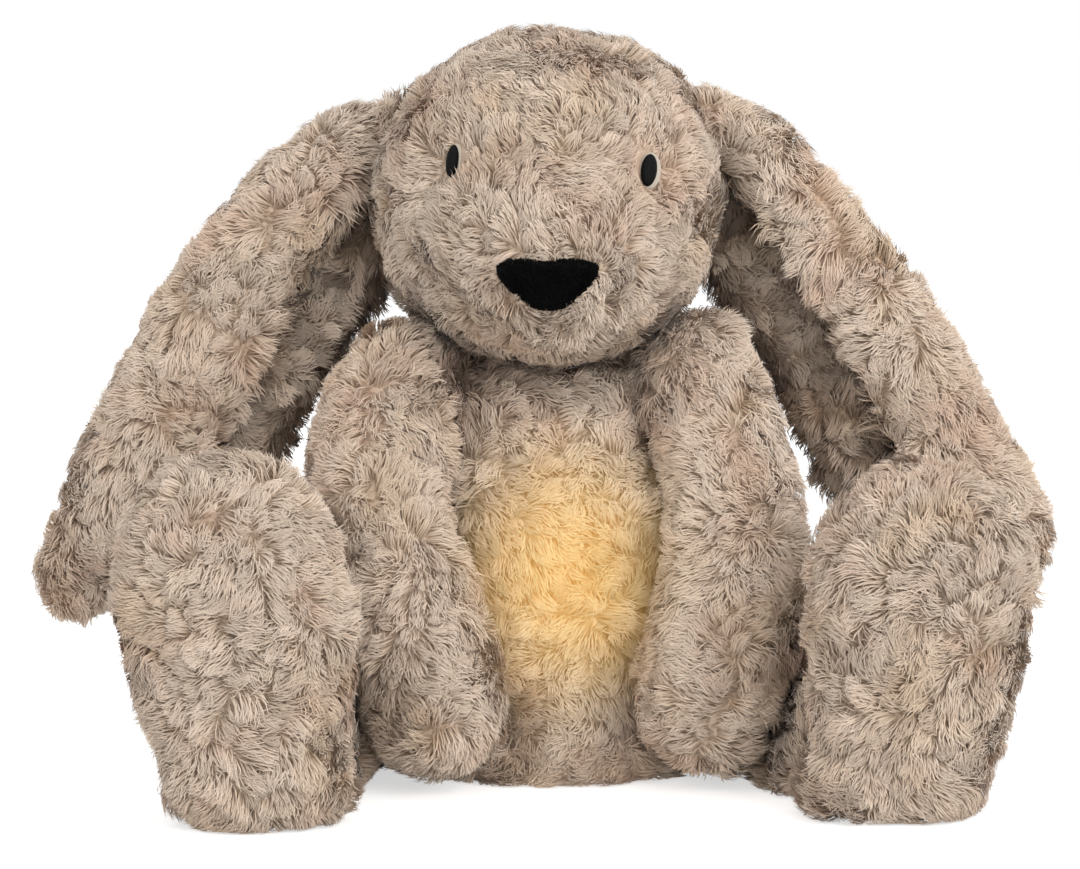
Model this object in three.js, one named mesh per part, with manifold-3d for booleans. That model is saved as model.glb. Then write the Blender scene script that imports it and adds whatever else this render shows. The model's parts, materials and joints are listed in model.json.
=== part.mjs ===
// A plush sleep trainer: a sitting long-eared plush rabbit with a light and sound module behind its belly.
//
// Millimetres. +Z is up, the animal faces -Y, and its own left side is +X. The origin is the centre of the flat
// seat that the body rests on. The solids are the stuffed forms without their pile, which stands a few
// millimetres proud of them. Each limb hangs in a group whose origin is the point that it swings about.

import * as THREE from "three";
import { mergeVertices } from "three/addons/utils/BufferGeometryUtils.js";
import Module from "manifold-3d";

const wasm = await Module();
wasm.setup();

// Clearances
const gap = 0.3; // between two pieces that touch
const swingGap = 0.6; // between a limb and what it swings past
const overrun = 30; // how far a cutting shape runs past what it cuts
const swingStepDeg = 15; // largest turn between two cuts for a swing
const leastSwingSteps = 2;
const mergeTolerance = 1e-4;

// Body
const torso = { width: 144, depth: 110, height: 152, coverWall: 6, flatCut: 0.5 };
const torsoSides = 22;
// Rows of: height, half width, half depth and how far the middle leans back, as shares of height, width / 2,
// depth / 2 and depth.
const torsoRowShares = [
  [0.0, 0.68, 0.74, 0.0],
  [0.03, 0.86, 0.93, 0.002],
  [0.085, 0.94, 0.98, 0.006],
  [0.17, 0.98, 0.995, 0.012],
  [0.28, 1.0, 0.99, 0.018],
  [0.41, 1.0, 1.0, 0.022],
  [0.54, 0.97, 0.98, 0.028],
  [0.67, 0.915, 0.93, 0.036],
  [0.79, 0.82, 0.85, 0.045],
  [0.885, 0.69, 0.73, 0.055],
  [0.95, 0.52, 0.55, 0.064],
  [0.985, 0.3, 0.32, 0.07],
];
const torsoTopLeanShare = 0.073;

// Head
const head = { width: 113, depth: 108, height: 110, turnDeg: 4, nodDeg: 8 };
const headSides = 26;
const headRings = 16;
const headSinkShare = 0.118; // how far the head's ball sinks below the top of the body, of its height
const headForwardShare = 0.13; // how far its middle lies in front of the body's top, of its depth
const neckBackShare = 0.2; // how far behind its middle the head nods, of its depth
const muzzle = { reach: 25, spreadShare: 0.13, dropDeg: 24 };

// Face
const nose = { width: 33, height: 17, stand: 4, bevel: 1.6, riseShare: 0.57, bevelSteps: 2, curveSteps: 6 };
const noseTopDipShare = 0.12;
const noseSideShare = 0.62;
const noseChinShare = { side: 0.3, under: 0.5 }; // how full the nose is at its sides and underneath
const eye = { width: 5, height: 10, thickness: 1.2 };
// Where the eyes are sewn, as shares of the head's half sizes: the two sides differ a little.
const eyeShares = { left: { out: 0.574, up: 0.212 }, right: { out: 0.538, up: 0.264 } };
const eyeBacking = { margin: 1.2, shift: 0.9, thickness: 1.5, sinkShare: 0.125 };
const ovalSteps = 10;

// Ears
const ear = { reach: 121, height: 170, frontWidth: 38, rearWidth: 56, depth: 28, liftDeg: 60 };
const earRootShares = { out: 0.885, up: 0.51, back: 0.15 };
const earPathShares = [
  [-0.14, 0.02],
  [0.04, 0.03],
  [0.2, -0.006],
  [0.33, -0.094],
  [0.47, -0.206],
  [0.624, -0.356],
  [0.756, -0.52],
  [0.876, -0.682],
  [0.967, -0.83],
  [1.0, -0.918],
  [0.983, -1.0],
];
// The fold's section, from the fold round the front flap, into the crease and round the rear flap. Rows of: share
// of the front flap's width, share of the rear flap's width, share of the half depth (minus is the front).
const earSectionShares = [
  [0.0, 0.0, 0.0],
  [0.05, 0.0, -0.6],
  [0.22, 0.0, -0.95],
  [0.58, 0.0, -1.0],
  [0.9, 0.0, -0.88],
  [1.0, 0.0, -0.56],
  [0.9, 0.0, -0.22],
  [0.27, 0.0, -0.1],
  [0.27, 0.0, 0.1],
  [0.0, 0.7, 0.12],
  [0.0, 0.92, 0.14],
  [0.0, 1.0, 0.42],
  [0.0, 0.9, 0.78],
  [0.0, 0.6, 1.0],
  [0.0, 0.16, 0.95],
  [0.0, 0.03, 0.6],
];
// Rows of: place along the ear, width and depth there, and how much of its width the front flap has, as shares.
const earRowShares = [
  [0.0, 0.5, 0.7, 1.0],
  [0.09, 0.7, 0.85, 0.94],
  [0.2, 0.88, 0.97, 0.84],
  [0.34, 0.97, 1.0, 0.8],
  [0.5, 1.0, 1.0, 0.86],
  [0.66, 1.0, 1.0, 1.0],
  [0.8, 0.98, 0.96, 1.04],
  [0.9, 0.86, 0.86, 1.04],
  [0.965, 0.66, 0.66, 1.0],
  [1.0, 0.36, 0.4, 1.0],
];

// Arms
const arm = { width: 44, depth: 41, rise: 19, liftDeg: 60, swingInDeg: 8, sides: 14 };
const armSwayDeg = 3; // both hands lie a little towards the animal's left
// The arms are sewn on by hand: the left shoulder reaches higher, and the right one stands further out.
const armSewn = { left: { rise: 4, outDeg: 0 }, right: { rise: 0, outDeg: 5 } };
// Rows of: height of the arm's middle as a share of the body's height, its bearing round the body from the front in
// degrees, and how far it stands off the body's surface as a share of half the arm's width.
const armPathShares = [
  { heightShare: 0.855, bearingDeg: 52, standShare: 0.66 },
  { heightShare: 0.64, bearingDeg: 50, standShare: 0.84 },
  { heightShare: 0.42, bearingDeg: 40.5, standShare: 1.0 },
  { heightShare: 0.24, bearingDeg: 34.5, standShare: 1.1 },
  { heightShare: 0.045, bearingDeg: 33.5, standShare: 1.16 },
];
const armRowShares = [
  [0.02, 0.42, 0.42],
  [0.065, 0.7, 0.7],
  [0.13, 0.88, 0.9],
  [0.25, 0.94, 0.96],
  [0.4, 0.95, 0.98],
  [0.56, 0.96, 1.0],
  [0.72, 1.0, 1.0],
  [0.84, 1.0, 0.96],
  [0.92, 0.86, 0.82],
  [0.975, 0.54, 0.52],
];

// Legs and feet
const leg = { width: 40, liftDeg: 20, swingOutDeg: 10, sides: 14, squareness: 2.5 };
const hip = { bearingDeg: 84, inShare: 0.94, startInShare: 0.66 };
const legRowShares = [
  [0.03, 0.6, 0.6],
  [0.12, 0.94, 0.94],
  [0.3, 1.0, 1.0],
  [0.6, 0.97, 0.97],
  [0.9, 0.94, 0.94],
  [0.98, 0.8, 0.8],
];
// The feet are stuffed by hand: the left one is a little smaller and stands further out.
const footFill = { left: { share: 0.955, out: 3 }, right: { share: 1, out: 0 } };
const foot = {
  width: 72,
  height: 117,
  depth: 44,
  bottomOut: 101.5, // how far its lower end stands from the body's middle, to one side
  topOut: 113.5,
  forward: 121,
  tilt: 5, // how far its upper end leans back
  sides: 18,
};
const footRowShares = [
  [0.0, 0.4, 0.42],
  [0.03, 0.6, 0.68],
  [0.1, 0.755, 0.88],
  [0.24, 0.83, 0.97],
  [0.42, 0.92, 1.0],
  [0.6, 1.0, 1.0],
  [0.74, 0.97, 0.96],
  [0.86, 0.81, 0.86],
  [0.94, 0.58, 0.66],
  [0.985, 0.3, 0.36],
];
const footSquareness = 2.3; // power of the foot's section, where 2 is an ellipse
const ankleHeightShare = 0.3;
const ankleInShare = 0.25;

// Tail
const tail = { size: 27, standShare: 0.2, sides: 14, rings: 9 };

// Light and sound module. Its own frame has x as the body's, y up and z towards the belly, from the joint between
// its two shells.
const module = {
  width: 86,
  height: 60,
  wall: 2,
  frontDepth: 14,
  frontRound: 3,
  rearDepth: 24,
  crown: 13, // how far the back bulges past the rear shell's straight sides
  setBack: 18.5, // how far the joint between the shells lies behind the body's middle
};
const moduleHeightShare = 0.525; // height of its middle, of the body's height
const moduleSquareness = 3.2;
const moduleSides = 24;
const frontEdgeShares = [
  { roundShare: 0, depthShare: 0 },
  { roundShare: 0, depthShare: 0.76 },
  { roundShare: 0.3, depthShare: 0.93 },
  { roundShare: 1, depthShare: 1 },
];
// Rows of: how far the crowned back has drawn in, as a share of half the height, and how far it has risen.
const crownRowShares = [
  [0.0, 0.0],
  [0.06, 0.19],
  [0.2, 0.42],
  [0.42, 0.66],
  [0.68, 0.87],
  [0.9, 0.98],
];
const boss = { radius: 3.5, outShare: 0.78, upShare: 0.68, pilot: 1.4, well: 2.9, seat: 8 };
const screw = { radius: 1.15, length: 15, headRadius: 2.5, headHeight: 1.8, slotWidth: 0.7, slotDepth: 0.8 };
const diffuser = { radius: 22, rise: 10, wall: 1.6, flange: 3, flangeThickness: 1.5, steps: 5 };
const mainBoard = { width: 58, height: 44, thickness: 1.6, corner: 4 };
const led = { size: 3.5, height: 1.5, spreadX: 9, spreadY: 8 };
const chip = { size: 10, height: 1.4 };
const roundSides = 12;
const smallSides = 8;
const cornerSides = 3;

// Battery compartment, left of the module's middle as seen from behind
const cell = { count: 3, radius: 5.2, length: 43.5, nubRadius: 1.9, nubLength: 1, pitch: 11, depth: 22 };
const compartment = { middleX: -11, margin: 0.45, endRoom: 2.8, wall: 1.2, floorShare: 1.1 };
const spring = { wire: 0.3, turns: 2, bigRadius: 3.9, smallRadius: 2, stepsPerTurn: 10, sides: 5 };
const contact = { size: 7, thickness: 0.5 };
const door = { lip: 1, play: 0.3, tabs: 2, tabWidth: 3, tabLength: 1.4, tabThickness: 1.2 };
const lug = { radius: 3.8, y: -21.5, stand: 2.3, bossRadius: 2.6, bossTop: 27.6, seat: 29.4 };
const doorScrew = { radius: 1, length: 7, headRadius: 2.2, headHeight: 1.2 };

// Loudspeaker
const speaker = {
  besideCells: 2.65,
  y: -8,
  radius: 12,
  depth: 7,
  rim: 2.4,
  rimThickness: 1.2,
  magnetRadius: 7.2,
};
const speakerSeat = { depth: 28.6, wall: 1.6 };
const speakerParts = { coneThickness: 0.6, magnetHeight: 5, throat: 3, basket: 1 };
const grille = { hole: 0.95, pitch: 3.5, rounds: 2, inFirstRound: 6, sides: 6 };

// Buttons, each over its switch on the button board
const buttons = { radius: 3.5, skirt: 0.8, proud: 0.8, travel: 0.8, pitch: 10, y: 12 };
const buttonNames = ["power", "volume_up", "volume_down"];
const buttonBoard = { width: 30, height: 9, thickness: 1.2, depth: 21.4, besideCells: 0.15 };
const tactSwitch = { size: 6, height: 2.5, nubRadius: 1.7, nubHeight: 0.6 };

// Pocket and flap
const pouch = { thickness: 1, lip: 2 };
const pocket = { margin: 3 };
const flap = { width: 104, below: 16, above: 9, thickness: 4, corner: 9, hem: 5, openDeg: 90 };
const tape = { width: 84, height: 10, thickness: 1, corner: 1.5, edge: 2 };

// Colours
const fabric = { roughness: 0.95, metalness: 0 };
const plastic = { roughness: 0.45, metalness: 0 };
const metal = { roughness: 0.3, metalness: 1 };
const finishes = {
  fur: { color: 0xbfae9a, ...fabric },
  filling: { color: 0xf3f1ea, ...fabric },
  velour: { color: 0x14120f, ...fabric },
  thread: { color: 0x0d0c0b, ...fabric },
  felt: { color: 0xe9e3da, ...fabric },
  lining: { color: 0xe8e2d6, ...fabric },
  tape: { color: 0xd8cdbc, ...fabric },
  shell: { color: 0xf4f2ec, ...plastic },
  frosted: { color: 0xfff3d6, ...plastic },
  button: { color: 0xb8a894, ...plastic },
  board: { color: 0x1f6b46, ...plastic },
  chip: { color: 0x1b1b1d, ...plastic },
  led: { color: 0xfff0b0, ...plastic },
  cell: { color: 0x3a7d4f, ...plastic },
  cone: { color: 0x2a2a2c, ...fabric },
  steel: { color: 0xc9cbce, ...metal },
};

const sides = [
  { name: "left", sign: 1 },
  { name: "right", sign: -1 },
];
const corners = [
  [1, 1],
  [-1, 1],
  [-1, -1],
  [1, -1],
];
const upAxis = new THREE.Vector3(0, 0, 1);
const acrossAxis = new THREE.Vector3(1, 0, 0);
const radians = THREE.MathUtils.degToRad;

// Solids

/** Turns a closed geometry into a solid that can be cut and joined. */
function solid(geometry) {
  const bare = geometry.clone();
  bare.deleteAttribute("normal");
  bare.deleteAttribute("uv");
  const merged = mergeVertices(bare, mergeTolerance);
  const made = new wasm.Manifold(
    new wasm.Mesh({
      numProp: 3,
      vertProperties: Float32Array.from(merged.attributes.position.array),
      triVerts: Uint32Array.from(merged.index.array),
    }),
  );
  return made;
}

/** Turns a solid back into a geometry. */
function shape(body) {
  const mesh = body.getMesh();
  const geometry = new THREE.BufferGeometry();
  geometry.setAttribute("position", new THREE.BufferAttribute(mesh.vertProperties, mesh.numProp));
  geometry.setIndex(new THREE.BufferAttribute(mesh.triVerts, 1));
  return geometry;
}

/** The largest of the bodies that a cut leaves. */
function mainBody(body) {
  const bodies = body.decompose();
  return bodies.reduce((best, next) => (next.volume() > best.volume() ? next : best));
}

/** A named mesh of a solid or a geometry. */
function piece(name, body, finish) {
  const geometry = body.isBufferGeometry ? body : shape(body);
  const mesh = new THREE.Mesh(geometry, new THREE.MeshStandardMaterial(finishes[finish]));
  mesh.name = name;
  return mesh;
}

/** Turns every face round if the closed geometry is inside out. */
function facingOut(geometry) {
  const points = geometry.attributes.position;
  const index = geometry.index.array;
  const [a, b, c] = [new THREE.Vector3(), new THREE.Vector3(), new THREE.Vector3()];
  let volume = 0;
  for (let i = 0; i < index.length; i += 3) {
    a.fromBufferAttribute(points, index[i]);
    b.fromBufferAttribute(points, index[i + 1]);
    c.fromBufferAttribute(points, index[i + 2]);
    volume += a.dot(b.cross(c));
  }
  if (volume < 0) {
    for (let i = 0; i < index.length; i += 3) {
      [index[i + 1], index[i + 2]] = [index[i + 2], index[i + 1]];
    }
  }
  return geometry;
}

/** A closed skin over rings of equal count. Each end is a point, or the flat outline given for it. */
function skin(rings, startPoint, endPoint, flatOutline) {
  const count = rings[0].length;
  const points = rings.flat();
  const index = [];
  for (let ring = 0; ring + 1 < rings.length; ring++) {
    for (let i = 0; i < count; i++) {
      const next = (i + 1) % count;
      const [a, b] = [ring * count + i, ring * count + next];
      const [c, d] = [b + count, a + count];
      index.push(a, b, c, a, c, d);
    }
  }
  const last = (rings.length - 1) * count;
  if (flatOutline) {
    for (const [a, b, c] of THREE.ShapeUtils.triangulateShape(flatOutline, [])) {
      index.push(c, b, a, last + a, last + b, last + c);
    }
  } else {
    points.push(startPoint, endPoint);
    for (let i = 0; i < count; i++) {
      const next = (i + 1) % count;
      index.push(points.length - 2, next, i, points.length - 1, last + i, last + next);
    }
  }
  const geometry = new THREE.BufferGeometry().setFromPoints(points);
  geometry.setIndex(index);
  return facingOut(geometry);
}

/** Moves every point of a closed geometry out along its normal. */
function grown(geometry, distance) {
  const bare = geometry.clone();
  bare.deleteAttribute("normal");
  bare.deleteAttribute("uv");
  const merged = mergeVertices(bare, mergeTolerance);
  merged.computeVertexNormals();
  const points = merged.attributes.position;
  const normals = merged.attributes.normal;
  for (let i = 0; i < points.count; i++) {
    points.setXYZ(
      i,
      points.getX(i) + normals.getX(i) * distance,
      points.getY(i) + normals.getY(i) * distance,
      points.getZ(i) + normals.getZ(i) * distance,
    );
  }
  return merged;
}

/** Signed power, for the sections that are squarer than an ellipse. */
function squared(value, squareness) {
  return Math.sign(value) * Math.abs(value) ** (2 / squareness);
}

/** A ring round a middle, with its half sizes along two directions. */
function ring(middle, along, across, halfWidth, halfDepth, count, squareness = 2) {
  return Array.from({ length: count }, (_, i) => {
    const angle = (2 * Math.PI * i) / count;
    return middle
      .clone()
      .addScaledVector(along, squared(Math.cos(angle), squareness) * halfWidth)
      .addScaledVector(across, squared(Math.sin(angle), squareness) * halfDepth);
  });
}

/** A stuffed form along a curve, which swells and tapers by its rows of place, width and depth shares. */
function stuffedForm(curve, rows, width, depth, count, squareness) {
  const rings = rows.map(([place, widthShare, depthShare]) => {
    const tangent = curve.getTangentAt(place);
    const along = acrossAxis.clone().addScaledVector(tangent, -acrossAxis.dot(tangent)).normalize();
    const across = tangent.clone().cross(along);
    const halfWidth = (width / 2) * widthShare;
    return ring(curve.getPointAt(place), along, across, halfWidth, (depth / 2) * depthShare, count, squareness);
  });
  return skin(rings, curve.getPointAt(0), curve.getPointAt(1));
}

/** A flat shape extruded from one depth to another along z. */
function slab(outline, from, to, curveSegments = roundSides) {
  const geometry = new THREE.ExtrudeGeometry(outline, { depth: to - from, bevelEnabled: false, curveSegments });
  return geometry.translate(0, 0, from);
}

/** A rectangle with round corners about a point. */
function roundedRectangle(width, height, corner, x = 0, y = 0) {
  const outline = new THREE.Shape();
  const [w, h] = [width / 2, height / 2];
  outline.moveTo(x + w - corner, y - h);
  outline.absarc(x + w - corner, y - h + corner, corner, -Math.PI / 2, 0);
  outline.absarc(x + w - corner, y + h - corner, corner, 0, Math.PI / 2);
  outline.absarc(x - w + corner, y + h - corner, corner, Math.PI / 2, Math.PI);
  outline.absarc(x - w + corner, y - h + corner, corner, Math.PI, 1.5 * Math.PI);
  outline.closePath();
  return outline;
}

/** A rectangular block between two corners. */
function block(low, high) {
  const size = [0, 1, 2].map((axis) => high[axis] - low[axis]);
  const middle = [0, 1, 2].map((axis) => (high[axis] + low[axis]) / 2);
  return new THREE.BoxGeometry(...size).translate(...middle);
}

/** A round bar along z at a place. */
function bar(radius, from, to, x = 0, y = 0, count = roundSides) {
  const geometry = new THREE.CylinderGeometry(radius, radius, to - from, count);
  return geometry.rotateX(Math.PI / 2).translate(x, y, (from + to) / 2);
}

/** A turned shape about z from its profile of radius and height. */
function turned(profile, count = roundSides) {
  const points = profile.map(([radius, height]) => new THREE.Vector2(radius, height));
  return facingOut(closedLathe(points, count));
}

/** A lathe about z with its seam merged. */
function closedLathe(points, count) {
  const geometry = new THREE.LatheGeometry(points, count).rotateX(Math.PI / 2);
  geometry.deleteAttribute("normal");
  geometry.deleteAttribute("uv");
  const merged = mergeVertices(geometry, mergeTolerance);
  const index = [];
  const old = merged.index.array;
  for (let i = 0; i < old.length; i += 3) {
    const [a, b, c] = [old[i], old[i + 1], old[i + 2]];
    if (a !== b && b !== c && c !== a) index.push(a, b, c);
  }
  merged.setIndex(index);
  return merged;
}

/** Cuts a limb by what it swings past, at every angle of its swing. */
function cutBySwing(body, cutter, axis, limitDeg) {
  const steps = Math.max(leastSwingSteps, Math.ceil(limitDeg / swingStepDeg));
  let cut = body;
  for (let step = 0; step <= steps; step++) {
    const turn = new THREE.Matrix4().makeRotationAxis(axis, -radians((limitDeg * step) / steps));
    cut = cut.subtract(solid(cutter.clone().applyMatrix4(turn)));
  }
  return mainBody(cut);
}

/** The geometry of something in the model's frame, as seen from a group's own frame. */
function seenFrom(group, geometry) {
  group.updateWorldMatrix(true, false);
  return geometry.clone().applyMatrix4(group.matrixWorld.clone().invert());
}

/** Cuts a body flat at the height that it rests on. */
function cutFlat(body, floor = 0) {
  const reach = torso.width + foot.topOut;
  return body.subtract(solid(block([-reach, -reach, floor - overrun], [reach, reach, floor])));
}

// Body

/** The body's half sizes and middle at a height. */
function torsoAt(height) {
  const share = THREE.MathUtils.clamp(height / torso.height, 0, torsoRowShares.at(-1)[0]);
  const above = Math.max(1, torsoRowShares.findIndex((row) => row[0] >= share));
  const [low, high] = [torsoRowShares[above - 1], torsoRowShares[above]];
  const mix = (share - low[0]) / (high[0] - low[0]);
  const [halfWidthShare, halfDepthShare, leanShare] = [1, 2, 3].map((i) => low[i] + (high[i] - low[i]) * mix);
  return {
    halfWidth: (torso.width / 2) * halfWidthShare,
    halfDepth: (torso.depth / 2) * halfDepthShare,
    middleY: torso.depth * leanShare,
  };
}

/** A point on the body's surface at a height and a bearing from its front, moved out by a distance. */
function onTorso(height, bearingDeg, standOff, inShare = 1) {
  const { halfWidth, halfDepth, middleY } = torsoAt(height);
  const bearing = radians(bearingDeg);
  const radius = 1 / Math.hypot(Math.sin(bearing) / halfWidth, Math.cos(bearing) / halfDepth);
  const out = radius * inShare + standOff;
  return new THREE.Vector3(Math.sin(bearing) * out, middleY - Math.cos(bearing) * out, height);
}

/** The whole stuffed body, before anything is cut from it. */
function torsoForm() {
  const rings = torsoRowShares.map(([heightShare, widthShare, depthShare, leanShare]) => {
    const height = torso.height * heightShare - torso.flatCut * (1 - heightShare);
    const middle = new THREE.Vector3(0, torso.depth * leanShare, height);
    const halfWidth = (torso.width / 2) * widthShare;
    const halfDepth = (torso.depth / 2) * depthShare;
    return ring(middle, acrossAxis, new THREE.Vector3(0, 1, 0), halfWidth, halfDepth, torsoSides);
  });
  const bottom = new THREE.Vector3(0, 0, -torso.flatCut);
  const top = new THREE.Vector3(0, torso.depth * torsoTopLeanShare, torso.height);
  return skin(rings, bottom, top);
}

const torsoShape = torsoForm();
const torsoCutter = grown(torsoShape, swingGap);

// Module, in its own frame

/** The module's outline, drawn in by a distance. */
function moduleRing(inset, depth) {
  const middle = new THREE.Vector3(0, 0, depth);
  const up = new THREE.Vector3(0, 1, 0);
  const [halfWidth, halfHeight] = [module.width / 2 - inset, module.height / 2 - inset];
  return ring(middle, acrossAxis, up, halfWidth, halfHeight, moduleSides, moduleSquareness);
}

/** The front shell's outside, or its inside when drawn in by the wall. */
function frontForm(inset, start) {
  const depth = module.frontDepth - inset;
  const rings = frontEdgeShares.map(({ roundShare, depthShare }) =>
    moduleRing(inset + module.frontRound * roundShare, Math.max(start, depth * depthShare)),
  );
  rings[0] = moduleRing(inset, start);
  return skin(rings, new THREE.Vector3(0, 0, start), new THREE.Vector3(0, 0, depth));
}

/** The rear shell's outside with its crowned back, or its inside when drawn in by the wall. */
function rearForm(inset, start) {
  const halfHeight = module.height / 2 - inset;
  const rings = crownRowShares.map(([drawnShare, riseShare]) =>
    moduleRing(inset + halfHeight * drawnShare, -module.rearDepth - (module.crown - inset) * riseShare),
  );
  rings.unshift(moduleRing(inset, start));
  const apex = new THREE.Vector3(0, 0, -module.rearDepth - module.crown + inset);
  return skin(rings, new THREE.Vector3(0, 0, start), apex);
}

/** The four places of the screw bosses. */
function bossPlaces() {
  const [x, y] = [(module.width / 2) * boss.outShare, (module.height / 2) * boss.upShare];
  return corners.map(([signX, signY]) => [signX * x, signY * y]);
}

/** The front shell with its window and its screw bosses. */
function frontHousing() {
  const start = gap / 2;
  let body = solid(frontForm(0, start)).subtract(solid(frontForm(module.wall, start - overrun)));
  const window = diffuser.radius + gap;
  body = body.subtract(solid(bar(window, 0, module.frontDepth + overrun, 0, 0, 2 * roundSides)));
  const inside = solid(frontForm(module.wall / 2, start));
  for (const [x, y] of bossPlaces()) {
    const post = solid(bar(boss.radius, start, module.frontDepth, x, y)).intersect(inside);
    body = body.add(post);
  }
  for (const [x, y] of bossPlaces()) {
    body = body.subtract(solid(bar(boss.pilot, -overrun, module.frontDepth - module.wall, x, y, smallSides)));
  }
  return body;
}

/** Half the width of the space that the cells lie in. */
function compartmentHalfWidth() {
  return ((cell.count - 1) / 2) * cell.pitch + cell.radius + compartment.margin;
}

/** Outer side of the compartment's wall that faces the speaker and the buttons. */
function compartmentSide() {
  return compartment.middleX + compartmentHalfWidth() + compartment.wall;
}

/** The block that the cells lie in, grown by a wall. */
function compartmentBlock(wall, floor, back) {
  const halfWidth = compartmentHalfWidth() + wall;
  const halfLength = cell.length / 2 + compartment.endRoom + wall;
  return block(
    [compartment.middleX - halfWidth, -halfLength, -back],
    [compartment.middleX + halfWidth, halfLength, -floor],
  );
}

/** Depth of the compartment's floor under the cells. */
function compartmentFloor() {
  return cell.depth - cell.radius * compartment.floorShare;
}

/** Place of the door's screw, in the lug beside the cells. */
function lugPlace() {
  return [compartmentSide() + lug.stand, lug.y];
}

/** The lug of the battery door, from its lowest face out through the crowned back. */
function lugForm(inset, lowest) {
  const [x, y] = lugPlace();
  const back = -(module.rearDepth + module.crown + overrun);
  const [radius, start] = [lug.radius - inset, compartment.middleX + compartmentHalfWidth() - 2 * door.lip];
  const root = block([start, y - radius, back], [x, y + radius, -lowest]);
  return solid(bar(radius, back, -lowest, x, y)).add(solid(root));
}

/** The block over the cells. */
function doorBlock(inset) {
  const halfWidth = compartmentHalfWidth() - inset;
  const halfLength = cell.length / 2 + compartment.endRoom - inset;
  const back = module.rearDepth + module.crown + overrun;
  return block(
    [compartment.middleX - halfWidth, -halfLength, -back],
    [compartment.middleX + halfWidth, halfLength, -cell.depth],
  );
}

/** Places of the speaker grille's holes, in rounds about its middle. */
function grillePlaces() {
  const places = [[speakerX(), speaker.y]];
  for (let round = 1; round <= grille.rounds; round++) {
    const count = grille.inFirstRound * round;
    for (let i = 0; i < count; i++) {
      const angle = (2 * Math.PI * i) / count;
      const radius = grille.pitch * round;
      places.push([speakerX() + radius * Math.cos(angle), speaker.y + radius * Math.sin(angle)]);
    }
  }
  return places;
}

/** Place of each button along its row, beside the cells. */
function buttonPlace(index) {
  const middleX = compartmentSide() + buttonBoard.besideCells + buttonBoard.width / 2;
  return [middleX + (index - (buttonNames.length - 1) / 2) * buttons.pitch, buttons.y];
}

/** The speaker's middle across, beside the cells. */
function speakerX() {
  return compartmentSide() + speaker.besideCells + speaker.radius;
}

/** The rear shell: crowned back, battery tray, screw wells, speaker seat and grille, and button holes. */
function rearHousing() {
  const start = -gap / 2;
  const back = module.rearDepth + module.crown + overrun;
  const outside = solid(rearForm(0, start));
  const within = solid(rearForm(module.wall / 2, start));
  let body = outside.subtract(solid(rearForm(module.wall, start + overrun)));
  const floor = compartmentFloor();
  const tray = solid(compartmentBlock(compartment.wall, floor - compartment.wall, back));
  body = body.add(tray.subtract(solid(compartmentBlock(0, floor, back + overrun))).intersect(within));
  const ringSeat = solid(bar(speaker.radius, -back, -speakerSeat.depth, speakerX(), speaker.y, 2 * roundSides));
  const ringBore = bar(speaker.radius - speakerSeat.wall, -back, 0, speakerX(), speaker.y, 2 * roundSides);
  body = body.add(ringSeat.intersect(within).subtract(solid(ringBore)));
  for (const [x, y] of bossPlaces()) {
    body = body.add(solid(bar(boss.radius, -back, start, x, y)).intersect(within));
  }
  for (const [x, y] of bossPlaces()) {
    body = body.subtract(solid(bar(boss.well, -back, -boss.seat, x, y)));
    body = body.subtract(solid(bar(boss.pilot, -back, overrun, x, y, smallSides)));
  }
  const [lugX, lugY] = lugPlace();
  body = body.add(solid(bar(lug.bossRadius, -lug.bossTop, -cell.depth, lugX, lugY)));
  body = body.subtract(solid(doorBlock(door.lip))).subtract(lugForm(0, lug.bossTop));
  body = body.subtract(solid(bar(doorScrew.radius + gap, -back, overrun, lugX, lugY, smallSides)));
  for (const [x, y] of grillePlaces()) {
    body = body.subtract(solid(bar(grille.hole, -back, -speakerSeat.depth, x, y, grille.sides)));
  }
  for (const index of buttonNames.keys()) {
    const [x, y] = buttonPlace(index);
    body = body.subtract(solid(bar(buttons.radius + gap, -back, -module.rearDepth, x, y)));
  }
  return mainBody(body);
}

/** The curved door over the cells, cut from the same crowned back, with its screw's lug and its tabs. */
function batteryDoor() {
  const start = -gap / 2;
  const outside = solid(rearForm(0, start));
  const panel = outside.subtract(solid(rearForm(module.wall, start + overrun)));
  const [x, y] = lugPlace();
  const back = -(module.rearDepth + module.crown + overrun);
  const well = bar(doorScrew.headRadius + gap, back, -lug.seat, x, y);
  const bore = bar(doorScrew.radius + gap, back, 0, x, y, smallSides);
  let body = panel.intersect(solid(doorBlock(door.lip + door.play)));
  body = body.add(outside.intersect(lugForm(door.play, lug.bossTop + gap)));
  for (let i = 0; i < door.tabs; i++) {
    body = body.add(doorTab(compartment.middleX + (i - (door.tabs - 1) / 2) * cell.pitch));
  }
  return body.subtract(solid(well)).subtract(solid(bore));
}

/** A tab at the door's upper end, which hooks under the rim of its opening between two cells. */
function doorTab(x) {
  const edge = cell.length / 2 + compartment.endRoom - door.lip - door.play;
  const [low, high] = [x - door.tabWidth / 2, x + door.tabWidth / 2];
  const back = -(module.rearDepth + module.crown);
  const front = -(module.rearDepth + door.tabThickness);
  const root = solid(block([low, edge - door.tabLength, back], [high, edge, front]));
  const hook = solid(block([low, edge - door.tabLength, back], [high, edge + door.lip, front]));
  const inside = solid(rearForm(module.wall + gap, 0));
  return root.intersect(solid(rearForm(module.wall / 2, 0))).add(hook.intersect(inside));
}

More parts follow.
